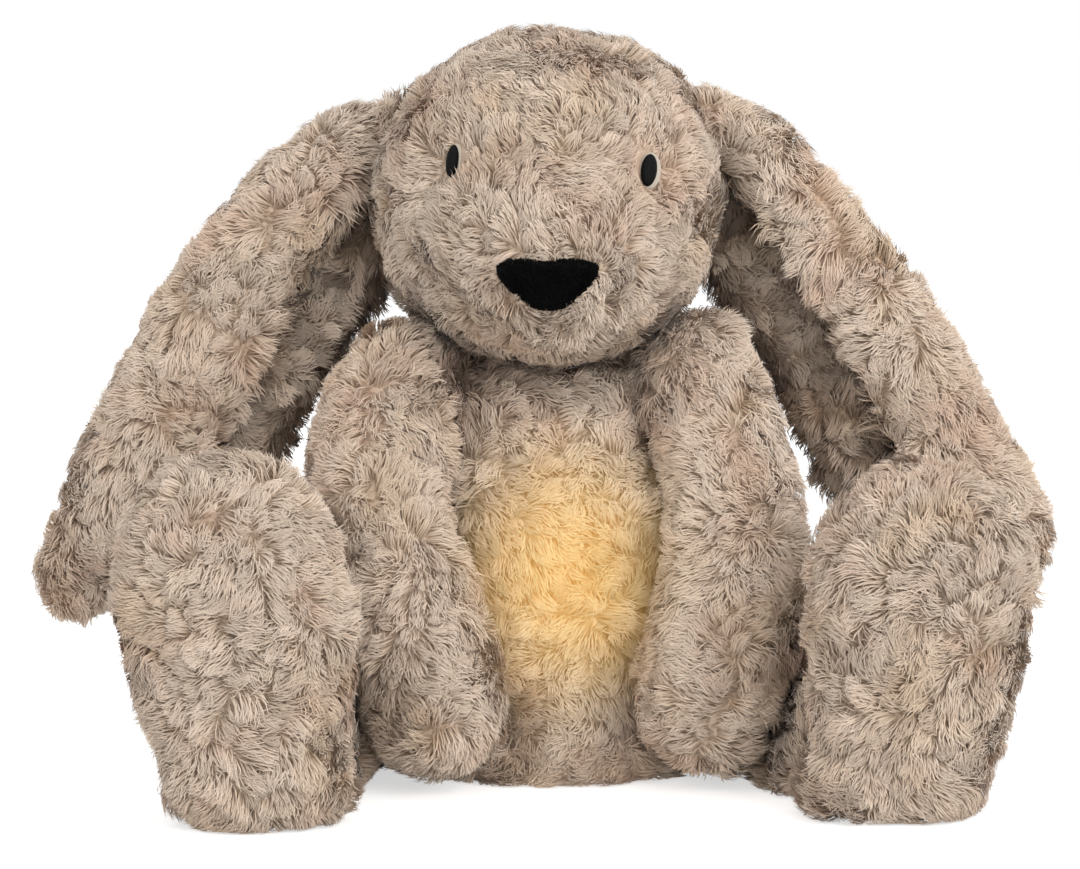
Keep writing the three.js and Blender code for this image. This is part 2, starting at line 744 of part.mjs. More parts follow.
/** The frosted dome with the flange that holds it behind the window. */
function lightDiffuser() {
  const flangeTop = module.frontDepth - module.wall - gap;
  const flangeBottom = flangeTop - diffuser.flangeThickness;
  const outer = domeProfile(diffuser.radius, module.frontDepth, diffuser.rise);
  const inner = domeProfile(diffuser.radius - diffuser.wall, module.frontDepth, diffuser.rise - diffuser.wall);
  const flangeRadius = diffuser.radius + diffuser.flange;
  return turned(
    [
      [diffuser.radius - diffuser.wall, flangeBottom],
      [flangeRadius, flangeBottom],
      [flangeRadius, flangeTop],
      [diffuser.radius, flangeTop],
      ...outer,
      ...inner.reverse(),
      [diffuser.radius - diffuser.wall, flangeBottom],
    ],
    2 * roundSides,
  );
}

/** A quarter ellipse from a radius at a height up to the axis. */
function domeProfile(radius, height, rise) {
  return Array.from({ length: diffuser.steps + 1 }, (_, i) => {
    const angle = (Math.PI / 2) * (i / diffuser.steps);
    return [i === diffuser.steps ? 0 : radius * Math.cos(angle), height + rise * Math.sin(angle)];
  });
}

/** A screw along z with its slotted head towards -z and its head's seat at a depth. */
function screwShape(size, seat, x, y) {
  const shank = solid(bar(size.radius, -seat - gap, -seat - gap + size.length, x, y, smallSides));
  const top = seat + gap + size.headHeight;
  const crown = solid(bar(size.headRadius, -top, -seat - gap, x, y, smallSides));
  const slot = block(
    [x - size.headRadius - gap, y - screw.slotWidth / 2, -top - overrun],
    [x + size.headRadius + gap, y + screw.slotWidth / 2, -top + Math.min(screw.slotDepth, size.headHeight / 2)],
  );
  return shank.add(crown).subtract(solid(slot));
}

/** A cell that lies along y, with its nub towards +y or -y. */
function cellShape(x, sign) {
  const half = cell.length / 2;
  const profile = [
    [0, -half],
    [cell.radius, -half],
    [cell.radius, half - cell.nubLength],
    [cell.nubRadius, half - cell.nubLength],
    [cell.nubRadius, half],
    [0, half],
  ];
  return turned(profile, roundSides)
    .rotateX(-sign * (Math.PI / 2))
    .translate(x, 0, -cell.depth);
}

/** A conical contact spring from the compartment's end wall towards the cell's flat end. */
function springShape(x, sign) {
  const half = cell.length / 2 + compartment.endRoom;
  const start = half - gap - spring.wire;
  const end = cell.length / 2 + gap + spring.wire;
  const steps = spring.turns * spring.stepsPerTurn;
  const rings = [];
  for (let i = 0; i <= steps; i++) {
    const place = i / steps;
    const angle = 2 * Math.PI * spring.turns * place;
    const radius = THREE.MathUtils.lerp(spring.bigRadius, spring.smallRadius, place);
    const out = new THREE.Vector3(Math.cos(angle), 0, Math.sin(angle));
    const middle = out.clone().multiplyScalar(radius);
    middle.add(new THREE.Vector3(x, -sign * THREE.MathUtils.lerp(start, end, place), -cell.depth));
    rings.push(ring(middle, out, new THREE.Vector3(0, 1, 0), spring.wire, spring.wire, spring.sides));
  }
  return skin(rings, null, null, wireOutline());
}

/** The spring wire's section. */
function wireOutline() {
  return Array.from({ length: spring.sides }, (_, i) => {
    const angle = (2 * Math.PI * i) / spring.sides;
    return new THREE.Vector2(spring.wire * Math.cos(angle), spring.wire * Math.sin(angle));
  });
}

/** A flat contact plate on the end wall that the cell's nub meets. */
function contactShape(x, sign) {
  const wallY = cell.length / 2 + compartment.endRoom - gap;
  const near = wallY - contact.thickness;
  const half = contact.size / 2;
  const ys = [sign * near, sign * wallY].sort((a, b) => a - b);
  return block([x - half, ys[0], -cell.depth - half], [x + half, ys[1], -cell.depth + half]);
}

/** The speaker's basket, with its rim against the housing's seat. */
function speakerFrame() {
  const front = -(speakerSeat.depth - gap);
  const back = front + speaker.depth;
  const inner = speaker.radius - speaker.rim;
  return turned(
    [
      [inner, front],
      [speaker.radius, front],
      [speaker.radius, front + speaker.rimThickness],
      [inner + speakerParts.basket, front + speaker.rimThickness],
      [speaker.magnetRadius + speakerParts.basket, back],
      [speakerParts.throat, back],
      [speakerParts.throat, back - speakerParts.basket],
      [speaker.magnetRadius, back - speakerParts.basket],
      [inner, front + speaker.rimThickness],
      [inner, front],
    ],
    2 * roundSides,
  ).translate(speakerX(), speaker.y, 0);
}

/** The speaker's paper cone with its dust cap. */
function speakerCone() {
  const front = -(speakerSeat.depth - gap) + gap;
  const edge = speaker.radius - speaker.rim - gap;
  const deep = front + speaker.depth - speakerParts.basket - 2 * gap;
  const throat = speakerParts.throat;
  return turned(
    [
      [0, deep - speakerParts.coneThickness],
      [throat, deep - speakerParts.coneThickness],
      [edge - speakerParts.coneThickness, front],
      [edge, front],
      [edge, front + speakerParts.coneThickness],
      [throat + speakerParts.coneThickness, deep],
      [0, deep],
    ],
    roundSides,
  ).translate(speakerX(), speaker.y, 0);
}

/** The magnet behind the basket. */
function speakerMagnet() {
  const start = -(speakerSeat.depth - gap) + speaker.depth + gap;
  return bar(speaker.magnetRadius, start, start + speakerParts.magnetHeight, speakerX(), speaker.y);
}

/** A button cap: its face follows the crowned back, and its skirt stays inside the shell. */
function buttonCap(x, y) {
  const base = -(buttonBoard.depth + buttonBoard.thickness + gap + tactSwitch.height + tactSwitch.nubHeight);
  const skirtFoot = base - gap - buttons.travel;
  const back = -(module.rearDepth + module.crown + overrun);
  const cap = solid(bar(buttons.radius, back, skirtFoot, x, y)).intersect(solid(rearForm(-buttons.proud, 0)));
  const skirtForm = solid(rearForm(module.wall + gap, 0));
  const skirt = solid(bar(buttons.radius + buttons.skirt, back, skirtFoot, x, y)).intersect(skirtForm);
  return cap.add(skirt);
}

/** A switch on the button board with its round nub. */
function tactSwitchShape(x, y) {
  const seat = -(buttonBoard.depth + buttonBoard.thickness + gap);
  const half = tactSwitch.size / 2;
  const top = seat - tactSwitch.height;
  const body = solid(block([x - half, y - half, top], [x + half, y + half, seat]));
  const nub = bar(tactSwitch.nubRadius, top - tactSwitch.nubHeight, seat, x, y, smallSides);
  return body.add(solid(nub));
}

/** The thin fabric pouch round the module, open behind and at the light. */
function modulePouch() {
  const wall = pouch.thickness;
  const end = -(module.rearDepth - pouch.lip);
  const outer = solid(frontForm(-gap - wall, end));
  const inner = solid(frontForm(-gap, end - overrun));
  const window = bar(diffuser.radius + gap, 0, module.frontDepth + overrun, 0, 0, 2 * roundSides);
  return outer.subtract(inner).subtract(solid(window));
}

/** The space that the filling leaves for the pouch, the dome and the way out to the back. */
function pocketForm() {
  const margin = gap + pouch.thickness + gap;
  const back = -(module.rearDepth + module.crown + overrun);
  const hollow = solid(frontForm(-margin, back));
  const dome = bar(diffuser.radius + gap, 0, module.frontDepth + diffuser.rise + gap, 0, 0, 2 * roundSides);
  return hollow.add(solid(dome));
}

/** The group of the module's own pieces. */
function moduleGroup() {
  const group = new THREE.Group();
  group.position.set(0, module.setBack, torso.height * moduleHeightShare);
  group.rotation.x = Math.PI / 2;
  group.add(piece("front_housing", frontHousing(), "shell"));
  group.add(piece("rear_housing", rearHousing(), "shell"));
  group.add(piece("light_diffuser", lightDiffuser(), "frosted"));
  addBoards(group);
  addCells(group);
  addSpeaker(group);
  addScrews(group);
  group.add(piece("battery_door", batteryDoor(), "shell"));
  group.add(piece("module_pouch", modulePouch(), "lining"));
  return group;
}

/** The main board with its lights and chip, and the button board with its switches and caps. */
function addBoards(group) {
  const flangeBottom = module.frontDepth - module.wall - gap - diffuser.flangeThickness;
  const front = flangeBottom - gap;
  const back = front - mainBoard.thickness;
  const outline = roundedRectangle(mainBoard.width, mainBoard.height, mainBoard.corner);
  group.add(piece("main_board", slab(outline, back, front, cornerSides), "board"));
  corners.forEach(([signX, signY], i) => {
    const [x, y] = [signX * led.spreadX, signY * led.spreadY];
    const half = led.size / 2;
    const low = front + gap;
    const body = block([x - half, y - half, low], [x + half, y + half, low + led.height]);
    group.add(piece(`led_${i + 1}`, body, "led"));
  });
  const half = chip.size / 2;
  const chipBody = block([-half, -half, back - gap - chip.height], [half, half, back - gap]);
  group.add(piece("control_chip", chipBody, "chip"));
  const [boardHalf, middle] = [buttonBoard.width / 2, buttonPlace(1)];
  const top = -buttonBoard.depth;
  group.add(
    piece(
      "button_board",
      block(
        [middle[0] - boardHalf, middle[1] - buttonBoard.height / 2, top - buttonBoard.thickness],
        [middle[0] + boardHalf, middle[1] + buttonBoard.height / 2, top],
      ),
      "board",
    ),
  );
  buttonNames.forEach((name, index) => {
    const [x, y] = buttonPlace(index);
    group.add(piece(`tact_switch_${name}`, tactSwitchShape(x, y), "chip"));
    group.add(piece(`${name}_button`, buttonCap(x, y), "button"));
  });
}

/** The three cells with their springs and contacts, turned end for end in turn. */
function addCells(group) {
  for (let i = 0; i < cell.count; i++) {
    const x = compartment.middleX + (i - (cell.count - 1) / 2) * cell.pitch;
    const sign = i % 2 ? -1 : 1;
    group.add(piece(`battery_${i + 1}`, cellShape(x, sign), "cell"));
    group.add(piece(`battery_spring_${i + 1}`, springShape(x, sign), "steel"));
    group.add(piece(`battery_contact_${i + 1}`, contactShape(x, sign), "steel"));
  }
}

/** The loudspeaker's three pieces. */
function addSpeaker(group) {
  group.add(piece("speaker_frame", speakerFrame(), "steel"));
  group.add(piece("speaker_cone", speakerCone(), "cone"));
  group.add(piece("speaker_magnet", speakerMagnet(), "steel"));
}

/** The four screws that hold the shells together, and the door's one. */
function addScrews(group) {
  bossPlaces().forEach(([x, y], i) => {
    group.add(piece(`housing_screw_${i + 1}`, screwShape(screw, boss.seat, x, y), "steel"));
  });
  group.add(piece("battery_door_screw", screwShape(doorScrew, lug.seat, ...lugPlace()), "steel"));
}

const root = new THREE.Group();
const moduleParts = moduleGroup();
root.add(moduleParts);
root.updateMatrixWorld(true);

/** A body of the module's frame, placed in the model's frame. */
function placed(body) {
  return solid(shape(body).applyMatrix4(moduleParts.matrixWorld));
}

/** The opening in the cover at the back, which follows the module's outline. */
function backOpening() {
  const back = -(module.rearDepth + module.crown + overrun);
  return placed(solid(skin(
    [moduleRing(-pocket.margin, back), moduleRing(-pocket.margin, -module.rearDepth / 2)],
    new THREE.Vector3(0, 0, back),
    new THREE.Vector3(0, 0, -module.rearDepth / 2),
  )));
}

/** The fur cover of the body, a shell that is open at the back. */
function torsoCover() {
  const inner = solid(grown(torsoShape, -torso.coverWall));
  return cutFlat(solid(torsoShape)).subtract(inner).subtract(backOpening());
}

/** The fibre filling, with the pocket that holds the pouch and its module. */
function torsoFilling() {
  const filled = solid(grown(torsoShape, -torso.coverWall - gap));
  return mainBody(filled.subtract(placed(pocketForm())));
}

root.add(piece("torso_cover", torsoCover(), "fur"));
root.add(piece("torso_filling", torsoFilling(), "filling"));

// Flap and its tapes

/** A prism through the back of the body, over an outline of its width and height. */
function backPrism(width, low, high, corner) {
  const outline = roundedRectangle(width, high - low, corner, 0, (high + low) / 2);
  return solid(slab(outline, -torso.depth, 0, cornerSides).rotateX(Math.PI / 2));
}

/** A layer of the body's back between two distances from its surface. */
function backLayer(prism, from, to) {
  return solid(grown(torsoShape, to)).subtract(solid(grown(torsoShape, from))).intersect(prism);
}

const flapLow = torso.height * moduleHeightShare - module.height / 2 - pocket.margin - flap.below;
const flapHigh = torso.height * moduleHeightShare + module.height / 2 + pocket.margin + flap.above;
const loopTo = gap + tape.thickness;
const hookTo = loopTo + gap + tape.thickness;
const flapFrom = hookTo + gap;

/** The flap over the pocket, in a group at its top edge, with the hook tape on its inside. */
function flapGroup() {
  const group = new THREE.Group();
  const { halfDepth, middleY } = torsoAt(flapHigh);
  group.position.set(0, middleY + halfDepth + gap, flapHigh);
  const outline = backPrism(flap.width, flapLow, flapHigh, flap.corner);
  const panel = backLayer(outline, flapFrom, flapFrom + flap.thickness);
  const hemPrism = backPrism(flap.width - 2 * flap.corner, flapHigh - flap.hem, flapHigh, tape.corner);
  const hem = backLayer(hemPrism, gap, flapFrom + flap.thickness);
  const local = solid(seenFrom(group, shape(panel.add(hem))));
  const cutter = seenFrom(group, grown(torsoShape, gap));
  const cut = cutBySwing(local, cutter, acrossAxis, flap.openDeg);
  group.add(piece("back_flap", cut, "fur"));
  const hook = backLayer(tapePrism(), loopTo + gap, hookTo);
  group.add(piece("flap_hook_tape", seenFrom(group, shape(hook)), "tape"));
  return group;
}

/** The prism that both tapes are cut from, along the flap's lower edge. */
function tapePrism() {
  const low = flapLow + tape.edge;
  return backPrism(tape.width, low, low + tape.height, tape.corner);
}

root.add(flapGroup());
root.add(piece("torso_loop_tape", backLayer(tapePrism(), gap, loopTo), "tape"));

/** The small round tail, low on the back. */
function tailBody() {
  const height = tail.size / 2 + gap;
  const { halfDepth, middleY } = torsoAt(height);
  const ball = new THREE.SphereGeometry(tail.size / 2, tail.sides, tail.rings);
  ball.translate(0, middleY + halfDepth + tail.size * tail.standShare, height);
  return mainBody(solid(ball).subtract(solid(grown(torsoShape, gap))));
}

root.add(piece("tail", tailBody(), "fur"));

// Head, in a group at the neck

/** Place of the head's middle in the model's frame. */
function headMiddle() {
  const forward = head.depth * headForwardShare + (head.depth * neckBackShare) / 2;
  const height = torso.height - head.height * headSinkShare + head.height / 2;
  return new THREE.Vector3(0, torso.depth * torsoTopLeanShare - forward, height);
}

const headGroup = new THREE.Group();
headGroup.position.copy(headMiddle());
headGroup.position.y += head.depth * neckBackShare;
headGroup.position.z = torso.height;
headGroup.rotation.z = -radians(head.turnDeg);
root.add(headGroup);
root.updateMatrixWorld(true);
const headLocal = new THREE.Vector3(0, -head.depth * neckBackShare, headMiddle().z - torso.height);

/** The way that the muzzle points, forward and down. */
function muzzleDirection() {
  const drop = radians(muzzle.dropDeg);
  return new THREE.Vector3(0, -Math.cos(drop), -Math.sin(drop));
}

/** The head's three half sizes. */
function headHalf() {
  return new THREE.Vector3(head.width, head.depth, head.height).multiplyScalar(1 / 2);
}

/** The front of the muzzle. */
function muzzleTip() {
  const towards = muzzleDirection();
  return towards.clone().multiply(headHalf()).addScaledVector(towards, muzzle.reach).add(headLocal);
}

/** The head's ball with its muzzle drawn forward. */
function headForm() {
  const geometry = new THREE.SphereGeometry(1, headSides, headRings).rotateX(Math.PI / 2);
  const towards = muzzleDirection();
  const half = headHalf();
  const points = geometry.attributes.position;
  const point = new THREE.Vector3();
  for (let i = 0; i < points.count; i++) {
    point.fromBufferAttribute(points, i);
    const swell = Math.exp((point.dot(towards) - 1) / muzzle.spreadShare);
    point.multiply(half).addScaledVector(towards, muzzle.reach * swell).add(headLocal);
    points.setXYZ(i, point.x, point.y, point.z);
  }
  return geometry;
}

const headShape = headForm();
const nodAxis = new THREE.Vector3(-1, 0, 0);
const headBody = cutBySwing(solid(headShape), seenFrom(headGroup, torsoCutter), nodAxis, head.nodDeg);
headGroup.add(piece("head", headBody, "fur"));
const headSeat = solid(grown(headShape, gap));

/** The half-moon nose, drawn with its flat side up. */
function noseOutline() {
  const [w, h] = [nose.width / 2, nose.height / 2];
  const outline = new THREE.Shape();
  outline.moveTo(-w, h * noseSideShare);
  outline.quadraticCurveTo(-w * noseSideShare, h, 0, h - nose.height * noseTopDipShare);
  outline.quadraticCurveTo(w * noseSideShare, h, w, h * noseSideShare);
  const { side, under } = noseChinShare;
  outline.bezierCurveTo(w, -h * side, w * under, -h, 0, -h);
  outline.bezierCurveTo(-w * under, -h, -w, -h * side, -w, h * noseSideShare);
  return outline;
}

/** The puffed velour nose on the front of the muzzle. */
function noseBody() {
  const tip = muzzleTip();
  const depth = head.depth / 2;
  const geometry = new THREE.ExtrudeGeometry(noseOutline(), {
    depth,
    bevelThickness: nose.bevel,
    bevelSize: nose.bevel,
    bevelOffset: -nose.bevel,
    bevelSegments: nose.bevelSteps,
    curveSegments: nose.curveSteps,
  });
  geometry.rotateX(Math.PI / 2);
  const front = tip.y - nose.stand + nose.bevel;
  geometry.translate(0, front + depth, tip.z + nose.height * nose.riseShare);
  return mainBody(solid(geometry).subtract(headSeat));
}

headGroup.add(piece("nose", noseBody(), "velour"));

/** An oval slab that lies on the head at an eye, between two distances from the surface. */
function ovalAtEye({ name, sign }, width, height, shift, from, to) {
  const outline = new THREE.Shape().absellipse(shift * sign, 0, width / 2, height / 2, 0, 2 * Math.PI);
  const out = new THREE.Vector3(sign * eyeShares[name].out, 0, eyeShares[name].up);
  out.y = -Math.sqrt(1 - out.x ** 2 - out.z ** 2);
  const half = headHalf();
  const place = out.clone().multiply(half).add(headLocal);
  const normal = out.clone().divide(half).normalize();
  const frame = new THREE.Matrix4().lookAt(normal, new THREE.Vector3(), upAxis).setPosition(place);
  return slab(outline, from, to, ovalSteps).applyMatrix4(frame);
}

for (const side of sides) {
  const [width, height] = [eye.width + 2 * eyeBacking.margin, eye.height + 2 * eyeBacking.margin];
  const sink = head.width * eyeBacking.sinkShare;
  const backing = ovalAtEye(side, width, height, eyeBacking.shift, -sink, eyeBacking.thickness);
  headGroup.add(piece(`eye_backing_${side.name}`, mainBody(solid(backing).subtract(headSeat)), "felt"));
  const front = eyeBacking.thickness + gap;
  const oval = ovalAtEye(side, eye.width, eye.height, 0, front, front + eye.thickness);
  headGroup.add(piece(`eye_${side.name}`, oval, "thread"));
}

// Ears, in groups at their roots

/** The folded ear as rings along its path, in the frame of its root. */
function earForm(sign) {
  const path = earPathShares.map(([out, up]) => new THREE.Vector3(sign * ear.reach * out, 0, ear.height * up));
  const curve = new THREE.CatmullRomCurve3(path);
  const back = new THREE.Vector3(0, 1, 0);
  const section = (frontWidth) =>
    earSectionShares.map(([frontShare, rearShare, depthShare]) => [
      frontWidth * frontShare + ear.rearWidth * rearShare,
      (ear.depth / 2) * depthShare,
    ]);
  const rings = earRowShares.map(([place, widthShare, depthShare, flapShare]) => {
    const middle = curve.getPointAt(place);
    const inward = curve.getTangentAt(place).cross(back).multiplyScalar(-sign);
    return section(ear.frontWidth * flapShare).map(([across, deep]) =>
      middle.clone().addScaledVector(inward, across * widthShare).addScaledVector(back, deep * depthShare),
    );
  });
  const flat = section(ear.frontWidth);
  return skin(rings, null, null, flat.map(([across, deep]) => new THREE.Vector2(across, deep)));
}

for (const { name, sign } of sides) {
  const group = new THREE.Group();
  group.position.set(
    sign * (head.width / 2) * earRootShares.out,
    headLocal.y + head.depth * earRootShares.back,
    headLocal.z + (head.height / 2) * earRootShares.up,
  );
  headGroup.add(group);
  const cutter = grown(headShape, swingGap).translate(...group.position.clone().negate());
  const axis = new THREE.Vector3(0, sign * -1, 0);
  group.add(piece(`ear_${name}`, cutBySwing(solid(earForm(sign)), cutter, axis, ear.liftDeg), "fur"));
}

// Arms, in groups at their shoulders

/** The points of an arm's middle line, from the top of the shoulder to the hand. */
function armPath({ name, sign }) {
  const { rise, outDeg } = armSewn[name];
  const points = armPathShares.map(({ heightShare, bearingDeg, standShare }) => {
    const sway = sign * armSwayDeg * (1 - heightShare);
    const bearing = bearingDeg + sway + outDeg * heightShare ** 2;
    const point = onTorso(torso.height * heightShare, bearing, (arm.width / 2) * standShare);
    point.x *= sign;
    return point;
  });
  const shoulder = points[0];
  points.unshift(shoulder.clone().addScaledVector(upAxis, arm.rise + rise));
  return points;
}

for (const side of sides) {
  const { name, sign } = side;
  const path = armPath(side);
  const group = new THREE.Group();
  group.position.copy(path[1]);
  root.add(group);
  const form = stuffedForm(new THREE.CatmullRomCurve3(path), armRowShares, arm.width, arm.depth, arm.sides);
  const cutter = seenFrom(group, torsoCutter);
  const swingIn = radians(arm.swingInDeg);
  const axis = new THREE.Vector3(-Math.cos(swingIn), sign * Math.sin(swingIn), 0);
  const body = cutBySwing(solid(seenFrom(group, form)), cutter, axis, arm.liftDeg);
  group.add(piece(`arm_${name}`, body, "fur"));
}

// Legs and feet, in groups at their hips

/** The foot, which stands on its heel with its sole to the front. */
function footForm({ name, sign }) {
  const { share, out } = footFill[name];
  const curve = new THREE.LineCurve3(
    new THREE.Vector3(sign * (foot.bottomOut + out), -foot.forward, -torso.flatCut),
    new THREE.Vector3(sign * (foot.topOut + out), -foot.forward + foot.tilt, foot.height * share),
  );
  return stuffedForm(curve, footRowShares, foot.width * share, foot.depth, foot.sides, footSquareness);
}

/** The points of a leg's middle line, from inside the body to inside the foot. */
function legPath({ name, sign }) {
  const height = leg.width / 2 - torso.flatCut;
  const start = onTorso(height, hip.bearingDeg, 0, hip.startInShare);
  const pivot = onTorso(height, hip.bearingDeg, 0, hip.inShare);
  const ankleOut = footFill[name].out + THREE.MathUtils.lerp(foot.bottomOut, foot.topOut, ankleHeightShare);
  const ankle = new THREE.Vector3(ankleOut, -foot.forward + foot.depth * ankleInShare, height);
  return [start, pivot, ankle].map((point) => new THREE.Vector3(sign * point.x, point.y, point.z));
}

for (const side of sides) {
  const { name, sign } = side;
  const path = legPath(side);
  const group = new THREE.Group();
  group.position.copy(path[1]);
  root.add(group);
  const form = stuffedForm(new THREE.CatmullRomCurve3(path), legRowShares, leg.width, leg.width, leg.sides, leg.squareness);
  const footShape = footForm(side);
  const whole = cutFlat(solid(form)).subtract(solid(grown(footShape, gap)));
  const local = solid(seenFrom(group, shape(mainBody(whole))));
  const cutter = seenFrom(group, torsoCutter);
  const swingOut = radians(leg.swingOutDeg);
  const axis = new THREE.Vector3(-Math.cos(swingOut), 0, sign * Math.sin(swingOut));
  group.add(piece(`leg_${name}`, cutBySwing(local, cutter, axis, leg.liftDeg), "fur"));
  group.add(piece(`foot_${name}`, seenFrom(group, shape(cutFlat(solid(footShape)))), "fur"));
}

root.updateMatrixWorld(true);

export default root;
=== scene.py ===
"""Looks of a plush sleep trainer: a sitting long-pile rabbit whose belly glows from the module inside it.

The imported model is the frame. Each sewn piece is replaced by one with real pile: tapered ribbons of fibre, gathered
in locks, over a smoothed skin. The moulded, printed and metal pieces keep their solids and get their finishes here.
Lengths are in metres, or in mm where a docstring says so, +Z is up, and the animal faces -Y.
"""

import json
import logging
import math
from dataclasses import dataclass, field
from enum import Enum
from typing import Any

import bpy
import numpy as np
from mathutils import Euler, Matrix, Vector
from mathutils.bvhtree import BVHTree
from mathutils.kdtree import KDTree


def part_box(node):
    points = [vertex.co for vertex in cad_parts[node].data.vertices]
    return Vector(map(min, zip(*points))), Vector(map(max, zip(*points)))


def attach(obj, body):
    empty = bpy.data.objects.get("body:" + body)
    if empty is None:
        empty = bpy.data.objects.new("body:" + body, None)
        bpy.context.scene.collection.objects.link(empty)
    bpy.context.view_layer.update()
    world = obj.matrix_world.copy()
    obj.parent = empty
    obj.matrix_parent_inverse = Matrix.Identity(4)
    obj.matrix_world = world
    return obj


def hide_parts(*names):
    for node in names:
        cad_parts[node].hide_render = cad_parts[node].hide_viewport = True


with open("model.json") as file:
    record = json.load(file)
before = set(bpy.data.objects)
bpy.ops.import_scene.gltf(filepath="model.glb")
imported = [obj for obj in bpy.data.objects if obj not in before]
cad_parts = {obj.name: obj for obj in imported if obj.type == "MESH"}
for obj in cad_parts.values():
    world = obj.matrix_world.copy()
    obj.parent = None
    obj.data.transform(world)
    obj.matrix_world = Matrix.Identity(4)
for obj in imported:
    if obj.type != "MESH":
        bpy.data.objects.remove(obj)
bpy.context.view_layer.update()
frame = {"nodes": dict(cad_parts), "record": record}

log = logging.getLogger("sleep_trainer")
MM = 0.001

Triple = tuple[float, float, float]
Values = dict[Any, Any]
Socket = bpy.types.NodeSocket
Links = dict[Any, Socket]
Tree = bpy.types.NodeTree


# Small helpers


def colour(code: str) -> tuple[float, float, float, float]:
    """Turns an sRGB hex value into a linear colour.

    Args:
        code: Six hex digits.

    Returns:
        Red, green, blue and alpha, linear.
    """
    parts = [int(code[i : i + 2], 16) / 255 for i in (0, 2, 4)]
    linear = [c / 12.92 if c <= 0.04045 else ((c + 0.055) / 1.055) ** 2.4 for c in parts]
    return (linear[0], linear[1], linear[2], 1.0)


def add_node(
    tree: Tree,
    kind: str,
    values: Values | None = None,
    links: Links | None = None,
    stops: tuple[tuple[float, str], ...] = (),
    **settings: Any,
) -> bpy.types.Node:
    """Adds a node with its settings, its values and the links into it.

    Args:
        tree: The tree that gets the node.
        kind: The node's type.
        values: Input name or number to its value.
        links: Input name or number to the socket that feeds it.
        stops: Places and hex codes of a colour ramp's stops, in order.
        **settings: The node's own settings by name.

    Returns:
        The new node.
    """
    node = tree.nodes.new(kind)
    for name, value in settings.items():
        setattr(node, name, value)
    for name, value in (values or {}).items():
        node.inputs[name].default_value = value
    for name, socket in (links or {}).items():
        tree.links.new(socket, node.inputs[name])
    for number, (place, code) in enumerate(stops):
        made = node.color_ramp.elements
        stop = made[number] if number < len(made) else made.new(place)
        stop.position, stop.color = place, colour(code)
    return node


def empty_tree(owner: bpy.types.Material | bpy.types.World) -> Tree:
    """The owner's node tree with nothing in it."""
    owner.use_nodes = True
    owner.node_tree.nodes.clear()
    return owner.node_tree


def add_object(name: str, data: bpy.types.ID) -> bpy.types.Object:
    """Puts a new object with its data into the scene."""
    thing = bpy.data.objects.new(name, data)
    bpy.context.scene.collection.objects.link(thing)
    return thing


def make_active(piece: bpy.types.Object) -> None:
    """Selects one piece alone and makes it the active one."""
    bpy.ops.object.select_all(action="DESELECT")
    piece.select_set(True)
    bpy.context.view_layer.objects.active = piece


def apply_modifier(piece: bpy.types.Object, kind: str, **settings: Any) -> None:
    """Adds a modifier to a piece and applies it.

    Args:
        piece: The piece that is changed.
        kind: The modifier's type.
        **settings: The modifier's settings by name.
    """
    make_active(piece)
    bpy.ops.object.modifier_add(type=kind)
    modifier = piece.modifiers[-1]
    for name, value in settings.items():
        setattr(modifier, name, value)
    bpy.ops.object.modifier_apply(modifier=modifier.name)


def rounded_copy(node: str, name: str, voxel: float, smoothing: int) -> bpy.types.Object:
    """Copies a CAD node into a new piece, without its doubles and with its edges rounded off.

    Args:
        node: The CAD node's name.
        name: The new piece's name.
        voxel: The finest detail that is kept.
        smoothing: How often it is smoothed.

    Returns:
        The new piece.
    """
    piece = add_object(name, frame["nodes"][node].data.copy())
    piece.data.materials.clear()
    make_active(piece)
    bpy.ops.object.mode_set(mode="EDIT")
    bpy.ops.mesh.select_all(action="SELECT")
    bpy.ops.mesh.remove_doubles(threshold=0.02 * MM)
    bpy.ops.object.mode_set(mode="OBJECT")
    apply_modifier(piece, "REMESH", mode="VOXEL", voxel_size=voxel)
    apply_modifier(piece, "SMOOTH", factor=0.5, iterations=smoothing)
    return piece


def read_rows(items: Any, name: str, kind: type = np.float64) -> np.ndarray:
    """Reads a property with three values from each of a mesh's items, one item a row."""
    values = np.empty(3 * len(items), dtype=kind)
    items.foreach_get(name, values)
    return values.reshape(-1, 3)


def write_rows(items: Any, name: str, values: np.ndarray, kind: type = np.float32) -> None:
    """Writes an array into a property of a mesh's items."""
    items.foreach_set(name, values.ravel().astype(kind))


def middle_of(node: str) -> np.ndarray:
    """Middle of a CAD node's box."""
    low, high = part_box(node)
    return (np.array(low) + np.array(high)) / 2


def unit(vectors: np.ndarray) -> np.ndarray:
    """Scales each row to length one."""
    return vectors / np.maximum(np.linalg.norm(vectors, axis=1, keepdims=True), 1e-9)


def waves(points: np.ndarray, span: float, seed: int, count: int = 9) -> np.ndarray:
    """Smooth noise: three values for each point, made of sine waves of many directions.

    Args:
        points: Places, one a row.
        span: Typical distance from crest to crest.
        seed: Fixes the noise.
        count: Waves in each of the three values.

    Returns:
        Values of about -1 to 1, three a row.
    """
    rng = np.random.default_rng(seed)
    result = np.zeros((len(points), 3))
    for axis in range(3):
        for _ in range(count):
            direction = rng.normal(size=3)
            direction *= 2 * math.pi / (span * rng.uniform(0.7, 1.7) * np.linalg.norm(direction))
            result[:, axis] += np.sin(points @ direction + rng.uniform(0, 2 * math.pi))
    return result / math.sqrt(count / 2)


# Finishes


def wave_scale(spacing: float) -> float:
    """The wave texture's scale for bands that lie this far apart."""
    return math.pi / (10 * spacing)


